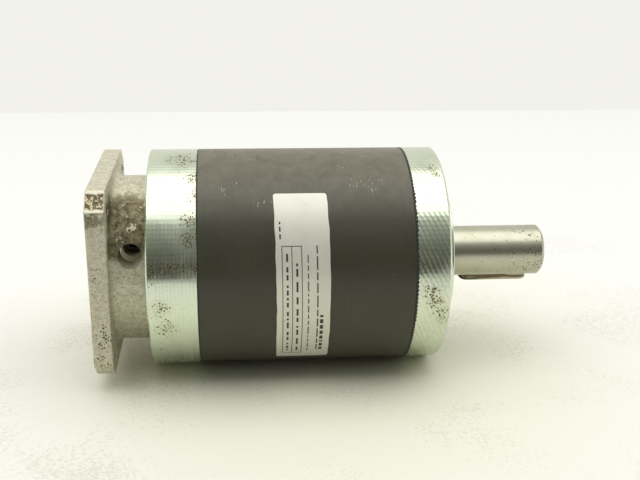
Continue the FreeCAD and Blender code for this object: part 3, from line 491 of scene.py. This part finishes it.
straight_ripples = (ripples_in_a_turn, 0.0, 0.0012)
feed_lines = (0, 0.6, 0.006)
rear_marks = [straight_ripples, feed_lines]
finishes["zinc_steel"] = zinc_plating("bright_zinc_plating", rear_marks, rear_spots + smudge_line)
leaning_chatter = (56, 0.42, 0.016)
deeper_ripples = (ripples_in_a_turn, 0.0, 0.003)
front_marks = [leaning_chatter, deeper_ripples]
front_zinc = zinc_plating("bright_zinc_plating_with_chatter", front_marks, front_spots)
print(front_zinc.name, len(front_zinc.node_tree.nodes), "nodes")

# %% [markdown]
# ## Cast aluminium
# The motor adapter is a sand casting. Its skin is grey-beige and matt, with the grain of the sand,
# fine dark pits and a few larger holes that hold old oil. The casting could get a displaced mesh,
# but its grain is only a fraction of a millimetre high, so a bump map gives the same look.

# %% Sand cast skin
cast_aluminium, tree, shader, place = new_finish("sand_cast_aluminium", 0.55, 0.5)
grain = add(tree, "TexNoise", {"Vector": place, "Scale": per_mm(1.4), "Detail": 6.0})
cloud = add(tree, "TexNoise", {"Vector": place, "Scale": per_mm(3.0), "Detail": 8.0, "Roughness": 0.75})
clouds = add(tree, "MapRange", {"Value": cloud.outputs["Fac"], "From Min": 0.32, "From Max": 0.66})
mottle = {0: clouds.outputs["Result"], 6: linear("B8B398"), 7: linear("E3DFCC")}
skin = add(tree, "Mix", mottle, data_type="RGBA")
sand = add(tree, "TexNoise", {"Vector": place, "Scale": per_mm(1.0), "Detail": 5.0, "Roughness": 0.7})
sandy = {"Value": sand.outputs["Fac"], "From Min": 0.5, "From Max": 0.7, "To Max": 0.6}
sand_grain = add(tree, "MapRange", sandy).outputs["Result"]
grainy = add(tree, "Mix", {0: sand_grain, 6: skin.outputs[2], 7: linear("968E74")}, data_type="RGBA")
pits = dots(tree, place, 0.8, 2.5, 0.9)
pitted = add(tree, "Mix", {0: pits, 6: grainy.outputs[2], 7: linear("8C8469")}, data_type="RGBA")
oily_spots = [(-160, -45, -22, 12), (-160, -45, -36, 12), (-160, -45, 34, 7), (-161, -45, 8, 5)]
holes = dots(tree, place, 1.1, 7.0, 1.3, patches(tree, place, oily_spots))
holed = add(tree, "Mix", {0: holes, 6: pitted.outputs[2], 7: linear("4E4634")}, data_type="RGBA")
print(cast_aluminium.name, "with", len(tree.nodes), "nodes before the oil")

# %% [markdown]
# ## Dried oil
# Oil has run over the neck and dried brown round the access hole, thick in some places and thin in
# others, with bare flecks in it. Where it lies is a patch whose rim noise makes ragged, and the
# same noise says how thick it is. Two noises could do this, but then the thin places wouldn't
# lie along the rim, where oil dries thinnest.

# %% Oil on the neck
spilled_near = [(-148, -27, 29, 19), (-143, -33, 23, 15), (-152, -36, 18, 9), (-161, -52, 34, 12)]
spill = patches(tree, place, spilled_near)
drops = add(tree, "TexNoise", {"Vector": place, "Scale": per_mm(2.6), "Detail": 7.0, "Roughness": 0.7})
soaked = add(tree, "Math", {0: spill, 1: 0.9, 2: drops.outputs["Fac"]}, operation="MULTIPLY_ADD")
oil = add(tree, "MapRange", {"Value": soaked.outputs[0], "From Min": 0.68, "From Max": 0.9})
thinned = add(tree, "MapRange", {"Value": drops.outputs["Fac"], "From Min": 0.36, "From Max": 0.66})
shades = {0: thinned.outputs["Result"], 6: linear("463C27"), 7: linear("989070")}
brown = add(tree, "Mix", shades, data_type="RGBA")
oily = {0: oil.outputs["Result"], 6: holed.outputs[2], 7: brown.outputs[2]}
oiled = add(tree, "Mix", oily, data_type="RGBA")
wiped_near = [(-144, -31, 26, 4), (-151, -33, 22, 4)]
flecks = specks(tree, place, 0.8, 4.0, 1.24, patches(tree, place, wiped_near))
flecked = {0: flecks, 6: oiled.outputs[2], 7: linear("D9D3BA")}
bright = add(tree, "Mix", flecked, data_type="RGBA")
print("oil near", len(spilled_near), "places")

# %% [markdown]
# ## The oily cut corner
# More oil has dried on the cut corner of the plate, which is the flat face at 45 degrees. A point
# is on it when its distance along that face's normal is the full one, and how far it is from the
# face's middle gives the pale rim. An attribute on the mesh could mark the face, but the packed
# mesh is kept as it is.

# %% Oil on the cut corner
plate_half = 45.0
corner_cut = 8.0
corner_reach = (2 * plate_half - corner_cut) * math.sqrt(0.5) * MM
corner_half = corner_cut * math.sqrt(0.5) * MM
corner_normal = (0, -math.sqrt(0.5), math.sqrt(0.5))
along_corner = (0, math.sqrt(0.5), math.sqrt(0.5))
outward = add(tree, "VectorMath", {0: place, 1: corner_normal}, operation="DOT_PRODUCT")
reached = {"From Min": corner_reach - 0.2 * MM, "From Max": corner_reach}
on_corner = add(tree, "MapRange", {"Value": outward.outputs["Value"], **reached})
sideways = add(tree, "VectorMath", {0: place, 1: along_corner}, operation="DOT_PRODUCT")
off_middle = add(tree, "Math", {0: sideways.outputs["Value"]}, operation="ABSOLUTE")
wander = 4.0 * MM
crust_rim = corner_half - 3.2 * MM
crust_full = corner_half - 4.0 * MM
ragged = {0: drops.outputs["Fac"], 1: -wander, 2: off_middle.outputs[0]}
edge = add(tree, "Math", ragged, operation="MULTIPLY_ADD")
crust_ends = {"Value": edge.outputs[0], "From Min": crust_rim, "From Max": crust_full}
core = add(tree, "MapRange", crust_ends)
crust = specks(tree, place, 0.8, 2.0, 0.94)
crusty = add(tree, "Mix", {0: crust, 6: linear("C9BF9D"), 7: linear("4E412C")}, data_type="RGBA")
rimmed = {0: core.outputs["Result"], 6: linear("E2DEC8"), 7: crusty.outputs[2]}
corner_face = add(tree, "Mix", rimmed, data_type="RGBA")
cornered = {0: on_corner.outputs["Result"], 6: bright.outputs[2], 7: corner_face.outputs[2]}
cast_colour = add(tree, "Mix", cornered, data_type="RGBA")
print("corner face", round(corner_reach, 4), "m from the axis")

# %% [markdown]
# ## The machined motor face
# Only the face that meets the motor was turned flat on the casting. It is brighter and smoother
# than the skin and has the lathe's lines, so colour, roughness and relief all change where the
# skin starts. A second material on that face would do the same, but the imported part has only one
# slot.

# %% Skin and machined face together
motor_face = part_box("motor_adapter")[0].x
parts = add(tree, "SeparateXYZ", {0: place})
skin_starts = {"From Min": motor_face + 0.05 * MM, "From Max": motor_face + 0.1 * MM}
cast_side = add(tree, "MapRange", {"Value": parts.outputs["X"], **skin_starts}).outputs["Result"]
whole = {0: cast_side, 6: linear("D6D5CB"), 7: cast_colour.outputs[2]}
colour = add(tree, "Mix", whole, data_type="RGBA")
roughness = add(tree, "Mix", {0: cast_side, 2: 0.3, 3: 0.55})
lines = turning_marks(tree, place, 0.8, 40.0)
height = add(tree, "Mix", {0: cast_side, 2: lines, 3: grain.outputs["Fac"]})
bump = add(tree, "Bump", {"Height": height.outputs[0], "Strength": 0.6, "Distance": 0.25 * MM})
tree.links.new(colour.outputs[2], shader.inputs["Base Color"])
tree.links.new(roughness.outputs[0], shader.inputs["Roughness"])
tree.links.new(bump.outputs["Normal"], shader.inputs["Normal"])
finishes["cast_aluminium"] = cast_aluminium
print(cast_aluminium.name, len(tree.nodes), "nodes")

# %% [markdown]
# ## Ground steel and the key
# The shaft is ground to size, so its lines are much finer than a lathe's and it mirrors in long
# soft bands. They are too fine to show, so they are drawn half a millimetre apart and very low.
# Small rust spots have formed near the shaft's free end. The key is cold drawn bar, duller, with
# dark streaks along its length where oil has dried. Both could use the recipe for the small parts
# below, but they are in plain view and have marks of their own.

# %% Ground shaft
ground_steel, tree, shader, place = new_finish("ground_shaft_steel", 1.0, 0.34)
lines = turning_marks(tree, place, 0.5, 30.0)
cloud = add(tree, "TexNoise", {"Vector": place, "Scale": per_mm(7.0), "Detail": 5.0})
mottle = {0: cloud.outputs["Fac"], 6: linear("AEAC97"), 7: linear("C8C8B6")}
tint = add(tree, "Mix", mottle, data_type="RGBA")
parts = add(tree, "SeparateXYZ", {0: place})
free_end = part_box("output_shaft_carrier")[1].x
damp_end = {"From Min": free_end - 34 * MM, "From Max": free_end, "To Max": 0.38}
soil = add(tree, "MapRange", {"Value": parts.outputs["X"], **damp_end}).outputs["Result"]
rust = dots(tree, place, 0.9, 5.0, 1.14, soil)
spotted = add(tree, "Mix", {0: rust, 6: tint.outputs[2], 7: linear("5E5242")}, data_type="RGBA")
dull = add(tree, "Mix", {0: rust, 2: 0.34, 3: 0.6})
bump = add(tree, "Bump", {"Height": lines, "Strength": 0.3, "Distance": 0.02 * MM})
tree.links.new(spotted.outputs[2], shader.inputs["Base Color"])
tree.links.new(dull.outputs[0], shader.inputs["Roughness"])
tree.links.new(bump.outputs["Normal"], shader.inputs["Normal"])
finishes["ground_steel"] = ground_steel
print(ground_steel.name, "to", round(free_end, 4), "m")

# %% Drawn key
key_steel, tree, shader, place = new_finish("drawn_key_steel", 0.9, 0.4)
drawn = add(tree, "Mapping", {"Vector": place, "Scale": (0.07, 1.0, 1.0)}).outputs["Vector"]
streaks = add(tree, "TexNoise", {"Vector": drawn, "Scale": per_mm(0.8), "Detail": 4.0})
dried = specks(tree, drawn, 1.0, 3.0, 0.93)
key_tint = add(tree, "Mix", {0: dried, 6: linear("AFA992"), 7: linear("5A4F38")}, data_type="RGBA")
bump = add(tree, "Bump", {"Height": streaks.outputs["Fac"], "Strength": 0.4, "Distance": 0.05 * MM})
tree.links.new(key_tint.outputs[2], shader.inputs["Base Color"])
tree.links.new(bump.outputs["Normal"], shader.inputs["Normal"])
finishes["key_steel"] = key_steel
print(key_steel.name, len(tree.nodes), "nodes")

# %% [markdown]
# ## The inside and the small parts
# Gears, carriers, bearings, circlips, screws, bushes, cages and seals differ in colour, in shine
# and in how coarse their marks are, but each is one tint with cloudy wear, fine marks and a few
# specks. The marks are drawn coarser than they are, so that they show. Each part could get a
# material written out in full, but one recipe with different values leaves none with a flat colour.

# %% One recipe for the machined parts
def worked_surface(name, metallic, roughness, light, dark, mark_size, speck_level):
    """A worked surface: two tints in clouds, marks of a size in millimetres and dark specks."""
    material, tree, shader, place = new_finish(name, metallic, roughness)
    cloud = add(tree, "TexNoise", {"Vector": place, "Scale": per_mm(6.0), "Detail": 5.0})
    mottle = {0: cloud.outputs["Fac"], 6: linear(dark), 7: linear(light)}
    tint = add(tree, "Mix", mottle, data_type="RGBA")
    speck_mask = specks(tree, place, 0.6, 5.0, speck_level)
    shade = [c * 0.4 for c in linear(dark)[:3]] + [1.0]
    spotted = add(tree, "Mix", {0: speck_mask, 6: tint.outputs[2], 7: shade}, data_type="RGBA")
    gloss = {"From Min": 0.3, "From Max": 0.7, "To Min": roughness * 0.8, "To Max": roughness * 1.25}
    rough = add(tree, "MapRange", {"Value": cloud.outputs["Fac"], **gloss})
    marks = turning_marks(tree, place, mark_size, 12.0)
    bump = add(tree, "Bump", {"Height": marks, "Strength": 0.3, "Distance": mark_size * 0.05 * MM})
    tree.links.new(spotted.outputs[2], shader.inputs["Base Color"])
    tree.links.new(rough.outputs["Result"], shader.inputs["Roughness"])
    tree.links.new(bump.outputs["Normal"], shader.inputs["Normal"])
    return material


# Case-hardened and ground gear steel: dark grey with ground flanks
finishes["gear_steel"] = worked_surface(
    "case_hardened_gear_steel", 1.0, 0.3, "B4B0A6", "8C887E", 0.4, 1.34
)
# Plain machined steel: paler, with coarser tool marks
finishes["carrier_steel"] = worked_surface(
    "machined_carrier_steel", 1.0, 0.32, "BDBAB0", "9C998E", 0.7, 1.34
)
# Turned collar steel, dulled by handling so that it scatters the light that falls in on it, and paler than
# the other steel as a painted highlight for the glare in the access hole
collar_steel_with_painted_glare = worked_surface("dull_collar_steel_with_painted_glare", 0.4, 0.55, "D8D4C4", "BDB8A6", 0.7, 1.34)
# Ground and polished bearing steel: the brightest, almost without marks
finishes["bearing_steel"] = worked_surface(
    "polished_bearing_steel", 1.0, 0.14, "DAD9D4", "C4C3BE", 0.2, 1.4
)
# Phosphated spring steel: matt charcoal crystals
finishes["spring_steel"] = worked_surface(
    "phosphated_spring_steel", 0.6, 0.5, "4A4945", "33322F", 0.3, 1.34
)
# Black oxide screws: glossier than the body, from their oil
finishes["screw_steel"] = worked_surface(
    "blackened_screw_steel", 1.0, 0.32, "5A5852", "43423D", 0.3, 1.34
)
# Sintered bronze: porous, warm and matt
finishes["bronze"] = worked_surface("sintered_bronze", 1.0, 0.42, "C79A5E", "9C733F", 0.5, 1.2)
# Machined brass for the roller cages: yellow and satin
finishes["cage_brass"] = worked_surface("machined_brass", 1.0, 0.28, "DDBF72", "BE9E54", 0.4, 1.36)
# Moulded nitrile rubber for seals and rings: almost black, with a soft sheen
finishes["seal_rubber"] = worked_surface("moulded_nitrile", 0.0, 0.55, "2C2C2A", "1E1E1D", 0.5, 1.4)
print(len(finishes), "finishes:", ", ".join(sorted(finishes)))

# %% [markdown]
# ## Give every imported part its finish
# The record says which material slot each part uses. Reading it from there, and not from a list typed
# here, means that no part can be forgotten. Only the front cover differs, because of its chatter marks,
# and the clamp collar of the input hub, which is duller than the other steel and paler, as a painted
# highlight for the glare seen through the access hole.

# %% Dress the imported parts
for part in frame["record"]["subparts"]:
    packed = frame["nodes"][part["node"]]
    packed.material_slots[0].material = finishes[part["material_slot"]]
frame["nodes"]["front_cover"].material_slots[0].material = front_zinc
frame["nodes"]["input_hub"].material_slots[0].material = collar_steel_with_painted_glare

# %% [markdown]
# ## The label
# A silver film label is glued round the near side of the body. It is cut with rounded corners and
# follows the curve, so it is made the same way: a flat sheet gets its corners rounded, is sliced
# so that it can bend, and is rolled to the body's radius. Its long edges waver a little, as a film
# that was pressed on by hand does. A shrinkwrap modifier would also bend it, but the roll is exact
# and leaves the film's thickness even.

# %% Cut and slice a flat sheet
slice_length = 1.2


def cut_sheet(width, length, corner):
    """A flat sheet in millimetres, as a bmesh, with its corners rounded if it has any radius."""
    sheet = bmesh.new()
    bmesh.ops.create_grid(sheet, x_segments=1, y_segments=1, size=0.5)
    bmesh.ops.scale(sheet, vec=(width, length, 1.0), verts=sheet.verts)
    if corner:
        bmesh.ops.bevel(
            sheet,
            geom=sheet.verts[:],
            offset=corner,
            segments=6,
            profile=0.5,
            affect="VERTICES",
            material=-1,
        )
    return sheet


def slice_sheet(sheet, length, pattern):
    """Slices a sheet into short steps and takes out each step that has no # in the pattern."""
    slices = max(1, round(length / slice_length))
    step = length / slices
    for i in range(1, slices):
        everything = sheet.verts[:] + sheet.edges[:] + sheet.faces[:]
        cut = (0, i * step - length / 2, 0)
        bmesh.ops.bisect_plane(sheet, geom=everything, plane_co=cut, plane_no=(0, 1, 0))
    gaps = []
    for face in sheet.faces:
        slot = int((face.calc_center_median().y + length / 2) / step)
        if pattern[slot % len(pattern)] != "#":
            gaps.append(face)
    bmesh.ops.delete(sheet, geom=gaps, context="FACES")


print("slices of about", slice_length, "mm")

# %% Roll a sheet round the body
label_x = -67.9
label_middle = (label_x, 1.3)
label_size = (24.4, 91.8)
label_corner = 1.3
label_tilt = 0.0135
label_waver = 0.28
film_lift = 0.02
film_thickness = 0.12
waves_in_a_mm = 0.16
# The two long edges read their noise this far from 0, one on each side, so they waver apart
edge_apart = 7.3


def rolled_sheet(name, size, corner, middle, lift, thickness, pattern="#", waver=0.0):
    """A sheet on the near side of the body, in millimetres. Its length runs round the axis.

    Size is its width and length, and middle is its place along and round the axis. A pattern is
    repeated along the length, one sign for each slice, and leaves out what isn't #."""
    sheet = cut_sheet(*size, corner)
    slice_sheet(sheet, size[1], pattern)
    bmesh.ops.recalc_face_normals(sheet, faces=sheet.faces)
    upside_down = [face for face in sheet.faces if face.normal.z < 0]
    bmesh.ops.reverse_faces(sheet, faces=upside_down)
    skin = bmesh.ops.extrude_face_region(sheet, geom=sheet.faces[:])
    raised = [item for item in skin["geom"] if isinstance(item, bmesh.types.BMVert)]
    bmesh.ops.translate(sheet, vec=(0, 0, thickness), verts=raised)
    for vertex in sheet.verts:
        place = vertex.co.copy()
        arc = (place.y + middle[1]) * MM / body_radius
        reach = body_radius + (place.z + lift) * MM
        side = math.copysign(edge_apart, place.x)
        wave = noise.noise((place.y * waves_in_a_mm, side, 0.0)) * waver
        along = middle[0] + place.x + wave - label_tilt * (place.y + middle[1])
        vertex.co = (along * MM, -reach * math.cos(arc), reach * math.sin(arc))
    bmesh.ops.recalc_face_normals(sheet, faces=sheet.faces)
    made = placed(name, sheet)
    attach(made, "housing")
    return made


label = rolled_sheet(
    "label_film", label_size, label_corner, label_middle, film_lift, film_thickness, "#", label_waver
)
print(label.name, len(label.data.polygons), "faces")

# %% [markdown]
# ## What is printed on the label
# The print is kept plain: a ruled frame of two rows, with rows of short bars in it and beside it,
# where such a label has its entries. Each rule or row is a strip of ink a few hundredths of a
# millimetre thick, rolled like the film, and a row of bars is a strip with gaps. Printing could
# also be painted in the material, but a thin mesh keeps crisp edges without an image.

# %% Rules and bars of the print
ink_lift = film_lift + film_thickness
ink = 0.03
rule = 0.34
frame_left = -9.4
frame_right = -0.6
frame_top = 21.8
frame_bottom = -39.2
frame_middle = (frame_top + frame_bottom) / 2
frame_length = frame_top - frame_bottom
row = (frame_right - frame_left) / 2
print_strips = []
for i in range(3):
    across = label_x + frame_left + i * row
    place = (across, frame_middle)
    strip = rolled_sheet(f"label_rule_{i + 1}", (rule, frame_length), 0, place, ink_lift, ink)
    print_strips.append(strip)
for i, along in enumerate((frame_top, frame_bottom)):
    place = (label_x + frame_left + row, along)
    size = (2 * row + rule, rule)
    print_strips.append(rolled_sheet(f"label_cross_rule_{i + 1}", size, 0, place, ink_lift, ink))

# Each row of bars: place across and along the label, height, length and pattern
bar_rows = [
    (frame_left + 0.5 * row, -9.0, 0.9, 55.0, "#.##.#..##.##..###.#.##..##."),
    (frame_left + 1.5 * row, -10.0, 0.9, 53.0, "###..####..###.#..##.###.."),
    (2.2, -9.0, 0.5, 56.0, "##.###.##.#.####.##."),
    (6.4, -7.0, 0.6, 58.0, "####.###.#####."),
    (8.3, -23.0, 1.5, 26.0, "##.##.#.##.##."),
    (-10.0, 29.0, 0.7, 8.0, "##."),
]
for i, (across, along, height, length, pattern) in enumerate(bar_rows):
    place = (label_x + across, along)
    size = (height, length)
    bars = rolled_sheet(f"label_bars_{i + 1}", size, 0, place, ink_lift, ink, pattern)
    print_strips.append(bars)
print(len(print_strips), "strips of ink")

# %% [markdown]
# ## Label film and ink
# The film is polyester with a vapour of aluminium behind it: silver, but brushed to a satin that
# is more milky than mirror-like. The real brushing is too fine to show, so its lines are drawn
# three tenths of a millimetre apart. A clear layer over a metal one could be built as two meshes,
# but a single partly metallic surface looks the same. The ink is a matt black with slightly
# uneven cover.

# %% Silver film and black ink
silver_film, tree, shader, place = new_finish("brushed_silver_film", 0.35, 0.45)
brushed = add(tree, "Mapping", {"Vector": place, "Scale": (1.0, 0.04, 0.04)})
streaks = add(tree, "TexNoise", {"Vector": brushed.outputs["Vector"], "Scale": per_mm(0.3), "Detail": 3.0})
cloud = add(tree, "TexNoise", {"Vector": place, "Scale": per_mm(9.0), "Detail": 4.0})
mottle = {0: cloud.outputs["Fac"], 6: linear("D8D8CA"), 7: linear("E6E6DA")}
film_tint = add(tree, "Mix", mottle, data_type="RGBA")
nick_mask = specks(tree, place, 0.5, 8.0, 1.36)
nicked = add(tree, "Mix", {0: nick_mask, 6: film_tint.outputs[2], 7: linear("77725F")}, data_type="RGBA")
bump = add(tree, "Bump", {"Height": streaks.outputs["Fac"], "Strength": 0.2, "Distance": 0.01 * MM})
tree.links.new(nicked.outputs[2], shader.inputs["Base Color"])
tree.links.new(bump.outputs["Normal"], shader.inputs["Normal"])
label.data.materials.append(silver_film)

black_ink, tree, shader, place = new_finish("screen_printed_ink", 0.0, 0.55)
cover = add(tree, "TexNoise", {"Vector": place, "Scale": per_mm(0.6), "Detail": 3.0})
uneven = {0: cover.outputs["Fac"], 6: linear("1C1B18"), 7: linear("4A4943")}
ink_tint = add(tree, "Mix", uneven, data_type="RGBA")
tree.links.new(ink_tint.outputs[2], shader.inputs["Base Color"])
for strip in print_strips:
    strip.data.materials.append(black_ink)
print(silver_film.name, "and", black_ink.name)

# %% [markdown]
# ## Sealant in the joints
# Where the covers meet the body, a little black sealant was squeezed into the groove between
# their chamfered edges. A circle that is spun round the axis makes the bead, and noise makes it
# uneven, as squeezed sealant is. A curve with a round bevel would make the same bead, but a spun
# section stays one closed mesh.

# %% Spin a section into a ring
def round_sections(x, radii, size, segments):
    """Circles in the XY plane, one for each radius, as the sections of rings, in metres."""
    section = bmesh.new()
    for radius in radii:
        circle = bmesh.ops.create_circle(section, cap_ends=False, segments=segments, radius=size)
        bmesh.ops.translate(section, vec=(x, radius, 0), verts=circle["verts"])
    return section


def spun_ring(name, section, steps, body, slot):
    """A section, as a bmesh in the XY plane, spun round the axis into one or more closed rings."""
    bmesh.ops.spin(
        section,
        geom=section.verts[:] + section.edges[:],
        cent=(0, 0, 0),
        axis=(1, 0, 0),
        angle=math.tau,
        steps=steps,
        use_merge=True,
    )
    bmesh.ops.remove_doubles(section, verts=section.verts, dist=1e-7)
    bmesh.ops.recalc_face_normals(section, faces=section.faces)
    made = placed(name, section)
    made.data.polygons.foreach_set("use_smooth", [True] * len(made.data.polygons))
    made.data.materials.append(finishes[slot])
    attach(made, body)
    print(name, len(made.data.polygons), "faces")
    return made


front_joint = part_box("gear_body")[1].x
rear_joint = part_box("gear_body")[0].x
print("joints at", round(rear_joint, 4), "and", round(front_joint, 4), "m")

# %% Beads of sealant
bead_radius = body_radius - 0.36 * MM
bead_size = 0.26 * MM
lumps_in_a_metre = 900.0
lump_height = 0.13
for name, joint in (("front_joint_sealant", front_joint), ("rear_joint_sealant", rear_joint)):
    section = round_sections(joint, [bead_radius], bead_size, 8)
    bead = spun_ring(name, section, 240, "housing", "seal_rubber")
    for vertex in bead.data.vertices:
        vertex.co.x += noise.noise(vertex.co * lumps_in_a_metre) * lump_height * MM

# %% [markdown]
# ## Painted shadow in the chatter marks
# At the front a thin dark film with a toothed edge lies over the joint and reaches a little way into the
# chatter marks of the cover, as painted shadow along the joint. A flattened section is spun round, and
# then the points on the cover's side are moved out step by step over each tooth. The cover's material
# could be painted black there instead, but the film reaches over onto the body.

# %% Toothed film of painted shadow
film_half_width = 0.5
film_flatness = 0.06
teeth = 165
steps_in_a_tooth = 4
tooth_length = 0.8
tooth_set_back = 0.3
# A thin dark film over the front joint: painted shadow of the joint, reaching into the chatter marks
shadow_film_section = round_sections(front_joint, [0], film_half_width * MM, 4)
bmesh.ops.scale(shadow_film_section, vec=(1, film_flatness, 1), verts=shadow_film_section.verts)
bmesh.ops.translate(shadow_film_section, vec=(0, body_radius + 0.01 * MM, 0), verts=shadow_film_section.verts)
film_steps = teeth * steps_in_a_tooth
toothed = spun_ring("front_joint_painted_shadow", shadow_film_section, film_steps, "housing", "seal_rubber")
cover_side = front_joint + 0.1 * MM
for vertex in toothed.data.vertices:
    if vertex.co.x > cover_side:
        turn = math.atan2(vertex.co.y, vertex.co.z) / math.tau * teeth
        vertex.co.x += (turn % 1.0) * tooth_length * MM - tooth_set_back * MM

# %% [markdown]
# ## Threads
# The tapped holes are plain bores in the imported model. A thread is one ridge wound in a helix, so
# a small roof-shaped profile is spun round the hole's axis while it moves on by one pitch a turn.
# The Screw modifier does the same, but the spin operator takes both the turn and the advance at
# once and leaves a finished mesh.

# %% Wind a thread into a bore
def wind_thread(bore, mouth, direction, radius, pitch, depth):
    """Winds a thread ridge into a mesh. The mouth is the centre of the hole's opening."""
    turns = int(depth / pitch) - 1
    steps_in_a_turn = 18
    run_in = direction * pitch * 0.6
    half_ridge = direction * pitch * 0.45
    ridge_height = pitch * 0.3
    foot_radius = radius * 1.01
    start = mouth + Vector((run_in, 0, 0))
    low = bore.verts.new(start + Vector((0, foot_radius, 0)))
    crest = bore.verts.new(start + Vector((half_ridge, radius - ridge_height, 0)))
    end = bore.verts.new(start + Vector((2 * half_ridge, foot_radius, 0)))
    profile = [bore.edges.new((low, crest)), bore.edges.new((crest, end))]
    bmesh.ops.spin(
        bore,
        geom=profile + [low, crest, end],
        cent=mouth,
        axis=(1, 0, 0),
        dvec=(direction * pitch / steps_in_a_turn, 0, 0),
        angle=math.tau * turns,
        steps=steps_in_a_turn * turns,
        use_merge=False,
    )


def thread_piece(name, body, slot, holes):
    """One piece with the threads of several holes."""
    bore = bmesh.new()
    for hole in holes:
        wind_thread(bore, *hole)
    bmesh.ops.recalc_face_normals(bore, faces=bore.faces)
    made = placed(name, bore)
    made.data.materials.append(finishes[slot])
    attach(made, body)
    print(name, len(made.data.polygons), "faces")
    return made


m8_pitch = 1.25 * MM
m6_pitch = 1.0 * MM
mounts = {mount["name"]: mount for mount in frame["record"]["mounts"]}
output_bolts = mounts["output_bolts"]["dims"]
motor_bolts = mounts["motor_bolts"]["dims"]
m8_bore = output_bolts["hole_r_mm"] * MM
m6_bore = motor_bolts["hole_r_mm"] * MM
print("bores of radius", round(m8_bore, 5), "and", round(m6_bore, 5), "m to thread")

# %% Thread the mounting holes and the shaft end
front_depth = 13 * MM
motor_depth = 9 * MM
front_holes = []
motor_holes = []
for i in range(4):
    turn = math.radians(45 + 90 * i)
    spoke = Vector((0, math.cos(turn), math.sin(turn)))
    front_mouth = spoke * output_bolts["pcd_mm"] / 2 * MM
    front_holes.append((front_mouth, -1, m8_bore, m8_pitch, front_depth))
    motor_mouth = spoke * motor_bolts["pcd_mm"] / 2 * MM + Vector((motor_face, 0, 0))
    motor_holes.append((motor_mouth, 1, m6_bore, m6_pitch, motor_depth))
thread_piece("mounting_threads", "housing", "zinc_steel", front_holes)
thread_piece("motor_flange_threads", "housing", "cast_aluminium", motor_holes)
countersink = 2 * MM
shaft_depth = 16 * MM
shaft_mouth = Vector((free_end - countersink, 0, 0))
shaft_hole = (shaft_mouth, -1, m8_bore, m8_pitch, shaft_depth)
thread_piece("shaft_end_thread", "output", "ground_steel", [shaft_hole])

# %% [markdown]
# ## Ribs on the shaft seal
# The face of a rubber shaft seal is moulded with low ribs. Circles are spun round the axis with
# their middles on the seal's face, so half of each stands proud of it, a quarter of a millimetre
# high. A torus would do for each, but the helper for the sealant makes all three at once.

# %% Ribs of the output seal
seal_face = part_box("output_shaft_seal")[1].x
rib_radii = (18.6 * MM, 20.4 * MM, 22.2 * MM)
rib_height = 0.25 * MM
rib_sections = round_sections(seal_face, rib_radii, rib_height, 10)
spun_ring("output_seal_ribs", rib_sections, 120, "housing", "seal_rubber")
